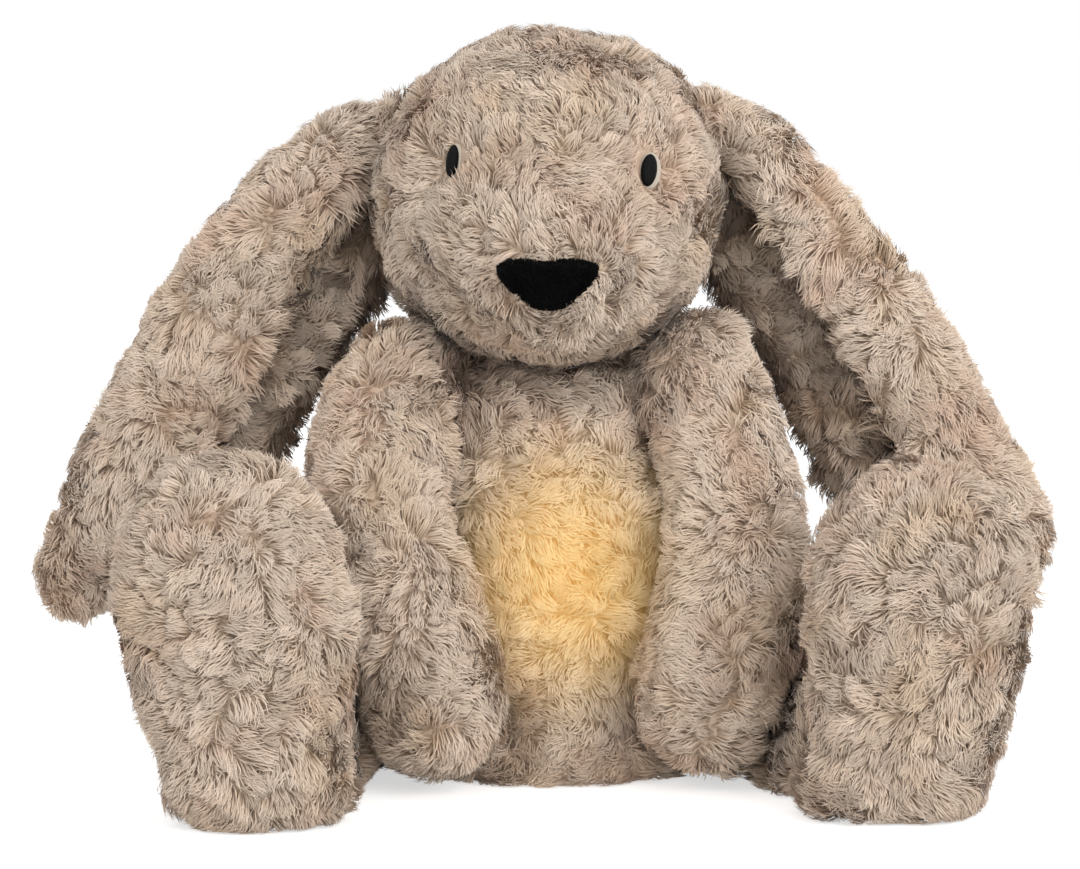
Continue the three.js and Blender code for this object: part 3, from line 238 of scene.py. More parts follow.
@dataclass(frozen=True)
class Finish:
    """A material by the name of what the real one is."""

    name: str

    def dress(self, tree: Tree) -> tuple[Values, Links]:
        """Adds the finish's own nodes and gives the shader's values and the links into it."""
        raise NotImplementedError

    def build(self) -> bpy.types.Material:
        """Makes the material, or gives back the one that is already made."""
        known = bpy.data.materials.get(self.name)
        if known:
            return known
        material = bpy.data.materials.new(self.name)
        tree = empty_tree(material)
        shader = add_node(tree, "ShaderNodeBsdfPrincipled", *self.dress(tree))
        add_node(tree, "ShaderNodeOutputMaterial", links={"Surface": shader.outputs["BSDF"]})
        return material


@dataclass(frozen=True)
class BellyGlow:
    """The warm light that comes through the belly, painted on the fur: an oval that fades out between its core and
    its edge.
    """

    centre: Triple = (3 * MM, -58 * MM, 71 * MM)
    reach: Triple = (46 * MM, 46 * MM, 54 * MM)
    edge: float = 1.15
    core: float = 0.1
    # The warm colour that the fur is painted towards in the oval, and by how much: painted glow
    tint: str = "F3D48C"
    painted_glow_share: float = 0.7
    light: str = "FFD070"
    strength: float = 0.17

    def mask(self, tree: Tree) -> Socket:
        """The light's share at each place, from 0 outside to 1 in the middle."""
        place = add_node(tree, "ShaderNodeTexCoord").outputs["Object"]
        oval = {"Location": self.centre, "Scale": self.reach}
        centred = add_node(tree, "ShaderNodeMapping", oval, {"Vector": place}, vector_type="TEXTURE")
        links = {0: centred.outputs["Vector"]}
        distance = add_node(tree, "ShaderNodeVectorMath", links=links, operation="LENGTH")
        fade = add_node(
            tree,
            "ShaderNodeMapRange",
            {"From Min": self.edge, "From Max": self.core, "To Min": 0.0, "To Max": 1.0},
            {"Value": distance.outputs["Value"]},
            interpolation_type="SMOOTHSTEP",
        )
        return fade.outputs["Result"]


@dataclass(frozen=True)
class LongPileFur(Finish):
    """Polyester faux fur with a long curly pile: brown towards the backing, pale and softly lit at the tips."""

    root: str = "B9A38C"
    middle: str = "CBB6A1"
    upper: str = "DDCAB7"
    tip: str = "E8D8C7"
    # The brown that closed-in locks are mixed towards: painted shade
    deep: str = "4E3826"
    rosy: str = "E9C9B8"
    cream: str = "F1E2C6"
    patch: float = 26 * MM
    glow: BellyGlow | None = None

    def dress(self, tree: Tree) -> tuple[Values, Links]:
        """Colours each strand from root to tip, with rosy and cream patches, and adds the painted glow."""
        pile = add_node(tree, "ShaderNodeAttribute", attribute_name="pile")
        parts = add_node(tree, "ShaderNodeSeparateXYZ", links={"Vector": pile.outputs["Vector"]})
        stops = ((0.0, self.root), (0.25, self.middle), (0.55, self.upper), (1.0, self.tip))
        ramp = add_node(tree, "ShaderNodeValToRGB", links={"Fac": parts.outputs["X"]}, stops=stops)
        shade = self.shades(tree, self.patches(tree, ramp.outputs["Color"]), parts)
        values = {"Roughness": 0.85, "Specular IOR Level": 0.2, "Sheen Weight": 0.2, "Sheen Roughness": 0.5}
        if not self.glow:
            return values, {"Base Color": shade}
        mask = self.glow.mask(tree)
        share, power = (
            add_node(tree, "ShaderNodeMath", {1: factor}, {0: mask}, operation="MULTIPLY").outputs[0]
            for factor in (self.glow.painted_glow_share, self.glow.strength)
        )
        # Painted glow: the fur's colour is mixed towards the warm tint and the fur emits light in the oval, standing
        # in for the lamp's light through the pile
        links = {"Factor": share, 6: shade}
        painted_glow = add_node(tree, "ShaderNodeMix", {7: colour(self.glow.tint)}, links, data_type="RGBA")
        values["Emission Color"] = colour(self.glow.light)
        return values, {"Base Color": painted_glow.outputs[2], "Emission Strength": power}

    def patches(self, tree: Tree, base: Socket) -> Socket:
        """Faint rosy and cream patches a few locks wide, as in the dyed fabric."""
        place = add_node(tree, "ShaderNodeTexCoord").outputs["Object"]
        for shift, code in ((0.0, self.rosy), (4.7, self.cream)):
            cloud = {"W": shift, "Scale": 1 / self.patch, "Detail": 2.0}
            noise = add_node(tree, "ShaderNodeTexNoise", cloud, {"Vector": place}, noise_dimensions="4D")
            bounds = {"From Min": 0.48, "From Max": 0.72, "To Min": 0.0, "To Max": 0.4}
            share = add_node(tree, "ShaderNodeMapRange", bounds, {"Value": noise.outputs["Fac"]})
            links = {"Factor": share.outputs["Result"], 6: base}
            mix = add_node(
                tree, "ShaderNodeMix", {7: colour(code)}, links, data_type="RGBA", blend_type="MULTIPLY"
            )
            base = mix.outputs[2]
        return base

    def shades(self, tree: Tree, base: Socket, parts: bpy.types.Node) -> Socket:
        """Small differences in lightness from strand to strand and lock to lock, and painted shade: deep brown where
        a lock lies deep in a fold.
        """
        bounds = {"From Min": 0.0, "From Max": 0.8, "To Min": 0.95, "To Max": 0.0}
        lock = add_node(tree, "ShaderNodeMapRange", bounds, {"Value": parts.outputs["Z"]})
        bounds = {"To Min": 1.0, "To Max": 1.13}
        strand = add_node(tree, "ShaderNodeMapRange", bounds, {"Value": parts.outputs["Y"]})
        # Painted shade: the darker a lock's lightness, the more it is mixed towards the deep brown
        links = {"Factor": lock.outputs["Result"], 6: base}
        sunk = add_node(tree, "ShaderNodeMix", {7: colour(self.deep)}, links, data_type="RGBA")
        links = {0: sunk.outputs[2], "Scale": strand.outputs["Result"]}
        return add_node(tree, "ShaderNodeVectorMath", links=links, operation="SCALE").outputs["Vector"]


@dataclass(frozen=True)
class ShortPile(Finish):
    """A short cut pile in one dye, such as velour or felt: matt, and darker at its base."""

    base: str
    tip: str
    roughness: float
    sheen: float
    gloss: float = 0.3

    def dress(self, tree: Tree) -> tuple[Values, Links]:
        """Colours each fibre from its base to its tip."""
        pile = add_node(tree, "ShaderNodeAttribute", attribute_name="pile")
        parts = add_node(tree, "ShaderNodeSeparateXYZ", links={"Vector": pile.outputs["Vector"]})
        stops = ((0.0, self.base), (1.0, self.tip))
        ramp = add_node(tree, "ShaderNodeValToRGB", links={"Fac": parts.outputs["X"]}, stops=stops)
        values = {"Roughness": self.roughness, "Sheen Weight": self.sheen, "Specular IOR Level": self.gloss}
        return values, {"Base Color": ramp.outputs["Color"]}


@dataclass(frozen=True)
class SatinStitch(Finish):
    """Embroidery in black viscose thread, laid in level rows. The rows are drawn 0.6 mm apart, to show."""

    dye: str = "070606"
    shadow: str = "050505"
    row: float = 0.6 * MM

    def dress(self, tree: Tree) -> tuple[Values, Links]:
        """Raises the rows and darkens the thread between them."""
        place = add_node(tree, "ShaderNodeTexCoord").outputs["Object"]
        pattern = {"Scale": wave_scale(self.row), "Distortion": 0.6, "Detail": 1.0}
        rows = add_node(tree, "ShaderNodeTexWave", pattern, {"Vector": place}, bands_direction="Z").outputs["Fac"]
        bump = add_node(tree, "ShaderNodeBump", {"Strength": 0.5, "Distance": 0.15 * MM}, {"Height": rows})
        stops = ((0.0, self.shadow), (1.0, self.dye))
        tone = add_node(tree, "ShaderNodeValToRGB", links={"Fac": rows}, stops=stops)
        links = {"Base Color": tone.outputs["Color"], "Normal": bump.outputs["Normal"]}
        return {"Roughness": 0.6, "Specular IOR Level": 0.12}, links


@dataclass(frozen=True)
class WovenCloth(Finish):
    """Plain cotton cloth, matt. Its threads are drawn 0.7 mm apart, to show."""

    dye: str = "E8E2D6"
    shadow: str = "CFC7B8"
    thread: float = 0.7 * MM

    def dress(self, tree: Tree) -> tuple[Values, Links]:
        """Crosses two sets of threads into a weave."""
        place = add_node(tree, "ShaderNodeTexCoord").outputs["Object"]
        pattern = {"Scale": wave_scale(self.thread), "Distortion": 0.4}
        sets = [
            add_node(tree, "ShaderNodeTexWave", pattern, {"Vector": place}, bands_direction=way).outputs["Fac"]
            for way in ("X", "Z")
        ]
        crossed = add_node(tree, "ShaderNodeMath", links={0: sets[0], 1: sets[1]}, operation="MULTIPLY")
        weave = crossed.outputs[0]
        stops = ((0.0, self.shadow), (1.0, self.dye))
        tone = add_node(tree, "ShaderNodeValToRGB", links={"Fac": weave}, stops=stops)
        bump = add_node(tree, "ShaderNodeBump", {"Strength": 0.5, "Distance": 0.2 * MM}, {"Height": weave})
        return {"Roughness": 0.9}, {"Base Color": tone.outputs["Color"], "Normal": bump.outputs["Normal"]}


@dataclass(frozen=True)
class FibreFill(Finish):
    """Loose white polyester fibre: soft matt lumps about 7 mm across, with finer ones in them."""

    dye: str = "F4F2EC"
    shadow: str = "D8D4CA"
    lump: float = 7 * MM

    def dress(self, tree: Tree) -> tuple[Values, Links]:
        """Raises and shades the lumps."""
        place = add_node(tree, "ShaderNodeTexCoord").outputs["Object"]
        pattern = {"Scale": 1 / self.lump, "Detail": 6.0, "Distortion": 0.8}
        lumps = add_node(tree, "ShaderNodeTexNoise", pattern, {"Vector": place}).outputs["Fac"]
        stops = ((0.35, self.shadow), (0.6, self.dye))
        tone = add_node(tree, "ShaderNodeValToRGB", links={"Fac": lumps}, stops=stops)
        bump = add_node(tree, "ShaderNodeBump", {"Strength": 0.7, "Distance": 1 * MM}, {"Height": lumps})
        return {"Roughness": 0.95}, {"Base Color": tone.outputs["Color"], "Normal": bump.outputs["Normal"]}


@dataclass(frozen=True)
class MouldedPlastic(Finish):
    """Injection moulded ABS from a spark-eroded tool. The tool leaves a matt grain of about 0.4 mm."""

    dye: str
    roughness: float
    grain: float = 0.4 * MM
    grain_depth: float = 0.02 * MM

    def dress(self, tree: Tree) -> tuple[Values, Links]:
        """Adds the grain and a slight unevenness of gloss."""
        place = add_node(tree, "ShaderNodeTexCoord").outputs["Object"]
        pattern = {"Scale": 1 / self.grain, "Detail": 2.0}
        grain = add_node(tree, "ShaderNodeTexNoise", pattern, {"Vector": place}).outputs["Fac"]
        bump = add_node(tree, "ShaderNodeBump", {"Strength": 0.4, "Distance": self.grain_depth}, {"Height": grain})
        bounds = {"To Min": self.roughness - 0.06, "To Max": self.roughness + 0.08}
        gloss = add_node(tree, "ShaderNodeMapRange", bounds, {"Value": grain})
        links = {"Roughness": gloss.outputs["Result"], "Normal": bump.outputs["Normal"]}
        return {"Base Color": colour(self.dye)}, links


@dataclass(frozen=True)
class CircuitLaminate(Finish):
    """Glass-epoxy board under green solder mask, with paler tracks about 1 mm wide."""

    mask: str = "1C6442"
    track: str = "2E8358"
    cell: float = 4 * MM

    def dress(self, tree: Tree) -> tuple[Values, Links]:
        """Lays the tracks as the edges of cells with straight sides."""
        place = add_node(tree, "ShaderNodeTexCoord").outputs["Object"]
        pattern = {"Scale": 1 / self.cell, "Randomness": 0.6}
        cells = add_node(tree, "ShaderNodeTexVoronoi", pattern, {"Vector": place}, distance="MANHATTAN")
        stops = ((0.0, self.mask), (0.62, self.track))
        tone = add_node(tree, "ShaderNodeValToRGB", links={"Fac": cells.outputs["Distance"]}, stops=stops)
        tone.color_ramp.interpolation = "CONSTANT"
        return {"Roughness": 0.35}, {"Base Color": tone.outputs["Color"]}


@dataclass(frozen=True)
class DrawnSteel(Finish):
    """Nickel-plated steel. Pressing leaves its gleam slightly cloudy, in spots of 0.8 mm and finer."""

    metal: str = "C4C6C8"
    roughness: float = 0.28
    spot: float = 0.8 * MM

    def dress(self, tree: Tree) -> tuple[Values, Links]:
        """Varies the gloss from spot to spot."""
        place = add_node(tree, "ShaderNodeTexCoord").outputs["Object"]
        pattern = {"Scale": 1 / self.spot, "Detail": 4.0}
        spots = add_node(tree, "ShaderNodeTexNoise", pattern, {"Vector": place}).outputs["Fac"]
        bounds = {"To Min": self.roughness - 0.08, "To Max": self.roughness + 0.12}
        gloss = add_node(tree, "ShaderNodeMapRange", bounds, {"Value": spots})
        return {"Base Color": colour(self.metal), "Metallic": 1.0}, {"Roughness": gloss.outputs["Result"]}


@dataclass(frozen=True)
class FrostedDome(Finish):
    """Milky polycarbonate that spreads the light behind it into an even, slightly cloudy glow."""

    dye: str = "FFF3D6"
    light: str = "FFC257"
    cloud: float = 12 * MM

    def dress(self, tree: Tree) -> tuple[Values, Links]:
        """Lights the plastic, a little more here and less there."""
        place = add_node(tree, "ShaderNodeTexCoord").outputs["Object"]
        pattern = {"Scale": 1 / self.cloud, "Detail": 1.0}
        cloud = add_node(tree, "ShaderNodeTexNoise", pattern, {"Vector": place}).outputs["Fac"]
        power = add_node(tree, "ShaderNodeMapRange", {"To Min": 0.6, "To Max": 0.9}, {"Value": cloud})
        values = {"Base Color": colour(self.dye), "Roughness": 0.5, "Emission Color": colour(self.light)}
        return values, {"Emission Strength": power.outputs["Result"]}


def settle(piece: bpy.types.Object, node: str, body: str, finish: Finish) -> None:
    """Dresses a finished piece and ties it to the frame in place of its node.

    Args:
        piece: The finished piece.
        node: The CAD node that it replaces.
        body: The body that carries it.
        finish: Its material.
    """
    piece.data.materials.append(finish.build())
    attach(piece, body)
    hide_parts(node)
    log.info("%s: %d faces", piece.name, len(piece.data.polygons))


# Pile

# In the search trees every place stands this far out, which parts the two sides of a thin piece
APART = 12 * MM
# Skin below this height that looks down stands on the floor, without pile. Strands end this far above the floor
STANDING, FLOOR_GAP = 1.2 * MM, 0.25 * MM
# One strand in so many is a candidate for a lock's middle
CANDIDATES = 8
# A strand's points: a left and a right one at its root and at its knee, and its tip. Then its triangles
STEPS, TAPERS = (0.0, 0.55, 1.0), (1.0, 0.9)
LEVELS = np.repeat(STEPS, 2)[:-1]
CORNERS = np.array(((0, 2, 3), (0, 3, 1), (2, 4, 3)))
# Shares of the cut's length that locks and strands are drawn from, and how much broad waves add
LOCK_LENGTHS, STRAND_LENGTHS = (0.72, 1.15), (0.82, 1.08)
WAVE_LENGTH, WAVE_SPAN = 0.16, 16 * MM
# A few strands stand upright: their shares of the lift and the lean
UPRIGHT_LIFT, UPRIGHT_LEAN = 1.12, 0.55
# Angles that a strand's arch and its curl run through from root to tip
ARCH, CURL = 0.62 * math.pi, 2.6
# How far out of the skin a strand starts to feel for its neighbours, how far it feels, in lifts, the share of the
# gap that it may fill and its shortest length
FEEL_START, FEEL, GAP_SHARE, SHORTEST = 0.6 * MM, 2.6, 0.42, 0.3
# Rays from each lock that tell how openly it lies, for the painted shade: their number, start, reach and spread, and
# what a far hit counts
RAYS, RAY_START, RAY_REACH, RAY_SPREAD, RAY_SHARE = 14, 2 * MM, 45 * MM, 0.95, 0.6
# Lightness that locks are drawn from, and that of the skin under them. Painted shade darkens both where they lie
# closed in
LOCK_TINTS, SKIN_TINT = (0.74, 1.0), 0.85


def search_tree(points: np.ndarray) -> KDTree:
    """A search tree over points, one a row."""
    tree = KDTree(len(points))
    for number, point in enumerate(points):
        tree.insert(point, number)
    tree.balance()
    return tree


def nearest(tree: KDTree, points: np.ndarray) -> np.ndarray:
    """The number in the tree that is nearest to each point."""
    return np.fromiter((tree.find(point)[1] for point in points), dtype=np.int64, count=len(points))


def first_hit(trees: list[BVHTree], start: np.ndarray, way: np.ndarray, reach: float) -> float | None:
    """How far a ray gets before it meets one of the trees, or None where it meets none."""
    hits = (tree.ray_cast(start, way, reach)[3] for tree in trees)
    return min((hit for hit in hits if hit is not None), default=None)


@dataclass(frozen=True)
class PileCut:
    """How a pile is cut and brushed."""

    lift: float = 4.2 * MM
    lean: float = 6.8 * MM
    width: float = 0.43 * MM
    per_square_mm: float = 2.12
    lock: float = 6.5 * MM
    gather: float = 0.5
    curl: float = 0.9 * MM
    fall: float = 0.35
    swirl: float = 1.0
    swirl_span: float = 30 * MM
    crinkle: float = 0.35
    crinkle_span: float = 8 * MM
    unruly: float = 0.2
    upright_share: float = 0.1
    puff: float = 0.7


@dataclass(frozen=True)
class Clearing:
    """A spot that the pile is trimmed round, such as an eye."""

    centre: Triple
    bald: float
    fade: float
    push: float
    squash_z: float = 1.0
    shortest: float = 0.3

    def distance(self, points: np.ndarray) -> np.ndarray:
        """Distance of each point from the spot, counted in units of its oval."""
        offset = points - np.array(self.centre)
        offset[:, 2] *= self.squash_z
        return np.linalg.norm(offset, axis=1)


@dataclass
class Places:
    """Places on a skin with its normal at each, one a row."""

    points: np.ndarray
    normals: np.ndarray

    def __len__(self) -> int:
        """How many there are."""
        return len(self.points)

    def picked(self, which: np.ndarray) -> "Places":
        """Some of the places, by their numbers or by a mask."""
        return Places(self.points[which], self.normals[which])

    def raised(self, height: float) -> np.ndarray:
        """The points moved out along their normals."""
        return self.points + height * self.normals

    def along(self, vectors: np.ndarray) -> np.ndarray:
        """The part of each vector that lies along the skin."""
        return vectors - (vectors * self.normals).sum(axis=1, keepdims=True) * self.normals


@dataclass
class Skin(Places):
    """A closed skin as plain arrays."""

    triangles: np.ndarray

    @classmethod
    def of(cls, piece: bpy.types.Object) -> "Skin":
        """Reads the skin of a piece."""
        mesh = piece.data
        mesh.calc_loop_triangles()
        triangles = read_rows(mesh.loop_triangles, "vertices", np.int32)
        return cls(read_rows(mesh.vertices, "co"), read_rows(mesh.vertices, "normal"), triangles)

    def scatter(self, per_square_mm: float, rng: np.random.Generator) -> Places:
        """Places spread evenly over the skin.

        Args:
            per_square_mm: How many.
            rng: The source of chance.

        Returns:
            The places.
        """
        a, b, c = (self.points[self.triangles[:, i]] for i in range(3))
        areas = np.linalg.norm(np.cross(b - a, c - a), axis=1) / 2
        count = int(areas.sum() / MM**2 * per_square_mm)
        corners = self.triangles[rng.choice(len(areas), size=count, p=areas / areas.sum())]
        root = np.sqrt(rng.random(count))
        second = rng.random(count)
        shares = np.stack([1 - root, root * (1 - second), root * second], axis=1)[:, :, None]
        points, normals = ((values[corners] * shares).sum(axis=1) for values in (self.points, self.normals))
        return Places(points, unit(normals))


@dataclass
class Ribbons:
    """Rows of points along every strand, ready to become faces."""

    rows: list[np.ndarray]
    normals: np.ndarray
    bulge: np.ndarray
    widths: np.ndarray
    # A random value for each strand, and each lock's lightness with painted shade where it lies closed in
    tones_and_shade: tuple[np.ndarray, np.ndarray]
    # The skin's lightness, with the same painted shade
    skin_tone_and_shade: np.ndarray
    rng: np.random.Generator

    def faces(self) -> tuple[np.ndarray, np.ndarray, np.ndarray, np.ndarray]:
        """Turns the strands into triangles.

        Returns:
            Points, triangles, and the pile attribute and the shading normal of each point.
        """
        count = len(self.normals)
        turn = np.clip(self.rng.normal(scale=0.35, size=count), -0.7, 0.7)[:, None]
        points, shading = [], []
        below = 0.0
        for row, next_row, taper in zip(self.rows, self.rows[1:], TAPERS):
            along = unit(next_row - row)
            side = unit(np.cross(self.normals, along))
            out = np.cross(along, side)
            half = (side * np.cos(turn) + out * np.sin(turn)) * (self.widths * taper / 2)[:, None]
            points += [row - half, row + half]
            shading += [unit(out + below + 0.6 * self.bulge)] * 2
            below = out
        points.append(self.rows[-1])
        shading.append(unit(below + self.normals + self.bulge))
        values = [np.repeat(LEVELS, count), *(np.tile(tint, len(LEVELS)) for tint in self.tones_and_shade)]
        triangles = count * CORNERS[:, None, :] + np.arange(count)[:, None]
        return np.concatenate(points), triangles.reshape(-1, 3), np.stack(values, axis=1), np.concatenate(shading)


@dataclass
class Pile:
    """The strands of one piece: tapered ribbons of three triangles that end in a point."""

    cut: PileCut
    seed: int
    clearings: tuple[Clearing, ...] = ()
    radiate_from: Triple | None = None
    radiate: float = 0.0
    outward_only: tuple[float, float] | None = None
    facing: Triple | None = None
    combed: Triple = (0.0, 1.7, -1.0)
    fold: tuple[float, float, float, float] | None = None
    fold_length: float = 0.65
    # Painted shade: fold_shade darkens the locks inside the fold, and openness is raised to deepen, which darkens
    # closed-in locks more
    fold_shade: float = 0.8
    deepen: float = 1.3
    # Painted light and shade: tone makes the whole piece's fur lighter or darker, for how the lamps fall on it
    tone: float = 1.0

    def kept(self, places: Places) -> np.ndarray:
        """Which places carry pile: not the face it stands on, nor a bald spot, nor an inner side."""
        points, normals = places.points, places.normals
        keep = ~((points[:, 2] < STANDING) & (normals[:, 2] < -0.6))
        for clearing in self.clearings:
            keep &= clearing.distance(points) > clearing.bald
        if self.outward_only is not None:
            out = unit(points[:, :2] - np.array(self.outward_only))
            keep &= ((out * normals[:, :2]).sum(axis=1) > 0.05) | (normals[:, 2] > 0.75)
        if self.facing is not None:
            keep &= normals @ np.array(self.facing) > 0.15
        return keep

    def folded(self, places: Places) -> np.ndarray:
        """Which places are the inside of the fold: behind its plane and facing it."""
        if self.fold is None:
            return np.zeros(len(places), dtype=bool)
        *back, offset = self.fold
        return (places.points @ np.array(back) > offset) & (places.normals @ np.array(back) < -0.2)

    def locks(self, roots: Places, rng: np.random.Generator) -> tuple[np.ndarray, KDTree]:
        """Chooses the locks' middles, about a lock apart.

        Args:
            roots: Where the strands stand.
            rng: The source of chance.

        Returns:
            The numbers of the chosen strands, and the search tree over them.
        """
        order = rng.permutation(len(roots))[: max(1, len(roots) // CANDIDATES)]
        spread = np.clip(waves(roots.points[order], 14 * MM, self.seed + 5)[:, 0], -1, 1)
        spacing = self.cut.lock * (0.9 + 0.3 * spread)
        apart = roots.raised(APART)
        tree = search_tree(apart[order])
        taken = np.zeros(len(order), dtype=bool)
        chosen = []
        for number, index in enumerate(order):
            if not taken[number]:
                chosen.append(index)
                for _, near, _ in tree.find_range(apart[index], spacing[number]):
                    taken[near] = True
        return np.array(chosen), search_tree(apart[chosen])

    def flow(self, middles: Places, rng: np.random.Generator) -> np.ndarray:
        """The way that each lock leans, along the skin.

        Args:
            middles: The locks' middles.
            rng: The source of chance.

        Returns:
            One unit direction a row.
        """
        cut, points = self.cut, middles.points
        way = cut.fall * np.array(self.combed) + cut.swirl * waves(points, cut.swirl_span, self.seed)
        way += rng.normal(scale=0.22 * cut.swirl, size=points.shape)
        if self.radiate_from is not None:
            way += self.radiate * unit(points - np.array(self.radiate_from))
        for clearing in self.clearings:
            near = np.exp(-np.maximum(clearing.distance(points) - clearing.bald, 0) / clearing.fade)
            way += clearing.push * near[:, None] * unit(points - np.array(clearing.centre))
        return unit(middles.along(way))

    def room(self, trees: list[BVHTree], roots: Places) -> np.ndarray:
        """How much of its length each strand has room for, before it meets its own piece or the next one.

        Args:
            trees: The piece's own skin and its neighbours.
            roots: Where the strands stand.

        Returns:
            A share of the full length, one for each strand.
        """
        reach = FEEL * self.cut.lift
        hits = (first_hit(trees, start, way, reach) for start, way in zip(roots.raised(FEEL_START), roots.normals))
        free = np.array([reach if hit is None else hit for hit in hits])
        return np.clip(GAP_SHARE * free / self.cut.lift, SHORTEST, 1.0)

    def openness(self, trees: list[BVHTree], middles: Places, rng: np.random.Generator) -> np.ndarray:
        """How openly each lock lies, for the painted shade: fur deep in a fold is coloured darker, standing in for
        the shade there.

        Args:
            trees: The piece's own skin and its neighbours.
            middles: The locks' middles.
            rng: The source of chance.

        Returns:
            From 0, closed in, to 1, open, for each lock.
        """
        result = np.zeros(len(middles))
        for number, (start, normal) in enumerate(zip(middles.raised(RAY_START), middles.normals)):
            for way in unit(normal + RAY_SPREAD * unit(rng.normal(size=(RAYS, 3)))):
                hit = first_hit(trees, start, way, RAY_REACH)
                result[number] += (1.0 if hit is None else RAY_SHARE * hit / RAY_REACH) / RAYS
        return result

    def lengths(self, roots: Places, way: np.ndarray, share: np.ndarray, rng: np.random.Generator) -> np.ndarray:
        """Length of each strand as a share: locks differ, folds and clearings shorten it.

        Args:
            roots: Where the strands stand.
            way: The way that each strand leans.
            share: What each strand's lock and the room round it allow.
            rng: The source of chance.

        Returns:
            A share of the full length, one for each strand.
        """
        size = share * rng.uniform(*STRAND_LENGTHS, len(roots))
        size *= 1 + WAVE_LENGTH * np.clip(waves(roots.points, WAVE_SPAN, self.seed + 3)[:, 0], -1.3, 1.3)
        size *= np.where(self.folded(roots), self.fold_length, 1.0)
        for clearing in self.clearings:
            past = (clearing.distance(roots.points) - clearing.bald) / clearing.fade
            size *= np.clip(past, clearing.shortest, 1.0)
        for clearing in self.clearings:
            over = clearing.distance(roots.points + way * (self.cut.lean * size)[:, None]) < clearing.bald
            size = np.where(over, clearing.shortest * size, size)
        return size

    def grow(self, skin: Skin, near: BVHTree | None) -> Ribbons:
        """Grows the strands over a skin.

        Args:
            skin: The skin that carries them.
            near: The neighbouring pieces, which the strands make room for.

        Returns:
            The strands as ribbons.
        """
        cut = self.cut
        rng = np.random.default_rng(self.seed)
        own = BVHTree.FromPolygons(skin.points.tolist(), skin.triangles.tolist())
        trees = [own, near] if near else [own]
        roots = skin.scatter(cut.per_square_mm, rng)
        roots = roots.picked(self.kept(roots))
        room = self.room(trees, roots)
        keep = rng.random(len(roots)) < np.clip((room - 0.2) / 0.4, 0.5, 1.0)
        roots, room = roots.picked(keep), room[keep]
        count = len(roots)

        chosen, tree = self.locks(roots, rng)
        middles, locks = roots.picked(chosen), len(chosen)
        lock = nearest(tree, roots.raised(APART) + rng.normal(scale=0.12 * cut.lock, size=(count, 3)))
        way = self.flow(middles, rng)[lock] + rng.normal(scale=cut.unruly, size=(count, 3))
        way = unit(roots.along(way + cut.crinkle * waves(roots.points, cut.crinkle_span, self.seed + 9)))
        offset = roots.along(roots.points - middles.points[lock])

        size = self.lengths(roots, way, rng.uniform(*LOCK_LENGTHS, locks)[lock] * room, rng)
        upright = rng.random(count) < cut.upright_share
        lift = cut.lift * size * np.where(upright, UPRIGHT_LIFT, 1.0)
        lean = cut.lean * size * np.where(upright, UPRIGHT_LEAN, 1.0)
        gather = rng.uniform(0.4, 1.3, locks)[lock] * cut.gather
        phase = rng.uniform(0, 2 * math.pi, locks)[lock] + rng.normal(scale=0.5, size=count)
        across = np.cross(roots.normals, way)
        rows = []
        for step in STEPS:
            row = roots.points + way * (lean * step**0.95)[:, None]
            row = row + roots.normals * (lift * math.sin(ARCH * step))[:, None]
            row = row - offset * (gather * step**1.5)[:, None]
            row = row + across * (cut.curl * size * step * np.sin(CURL * step + phase))[:, None]
            row[:, 2] = np.maximum(row[:, 2], FLOOR_GAP)
            rows.append(row)

        # Painted shade: locks that lie closed in among the skins, or inside a fold, are coloured darker
        light = self.tone * self.openness(trees, middles, rng) ** self.deepen
        light *= np.where(self.folded(middles), self.fold_shade, 1.0)
        skin_tone_and_shade = SKIN_TINT * light[nearest(tree, skin.raised(APART))]
        tones_and_shade = (rng.random(count), (rng.uniform(*LOCK_TINTS, locks) * light)[lock])
        bulge = cut.puff * offset / (cut.lock / 2) + rng.normal(scale=0.12, size=(count, 3))
        widths = cut.width * (0.7 + 0.6 * rng.random(count))
        return Ribbons(rows, roots.normals, bulge, widths, tones_and_shade, skin_tone_and_shade, rng)


# The fibre map has a cell for each place. In it the skin is a small triangle and each strand an upright strip
COLUMNS, ROWS = 32, 16
SKIN_CORNERS = np.array([[0.1, 0.01], [0.2, 0.01], [0.15, 0.05]])
STRIP_SIDES = np.array([0.0, 0.08, 0.0, 0.08, 0.04])


def pile_cells(places: Places) -> np.ndarray:
    """Column and row of the fibre map's cell that each place falls in, by its place over the front or the back."""
    low, high = places.points.min(axis=0), places.points.max(axis=0)
    share = (places.points - low) / np.maximum(high - low, 1e-6) * 0.999
    column = np.floor(share[:, 0] * COLUMNS / 2) + np.where(places.normals[:, 1] > 0, COLUMNS / 2, 0)
    return np.stack([column, np.floor(share[:, 2] * ROWS)], axis=1)


def fibre_map(skin: Skin, ribbons: Ribbons, triangles: np.ndarray, along: np.ndarray) -> np.ndarray:
    """Lays the triangles of the skin and of the strands into the fibre map.

    Args:
        skin: The skin.
        ribbons: The strands.
        triangles: The strands' triangles.
        along: How far along its strand each point lies.

    Returns:
        The place in the map of each triangle's corners.
    """
    under = pile_cells(Places(*(values[skin.triangles].mean(axis=1) for values in (skin.points, skin.normals))))
    level, strand = np.divmod(triangles, len(ribbons.normals))
    cells = pile_cells(Places(ribbons.rows[0], ribbons.normals))[strand]
    across = cells[..., 0] + 0.06 + 0.8 * ribbons.tones_and_shade[0][strand] + STRIP_SIDES[level]
    up = cells[..., 1] + 0.06 + 0.88 * along[triangles]
    return np.concatenate([under[:, None, :] + SKIN_CORNERS, np.stack([across, up], axis=2)]) / [COLUMNS, ROWS]


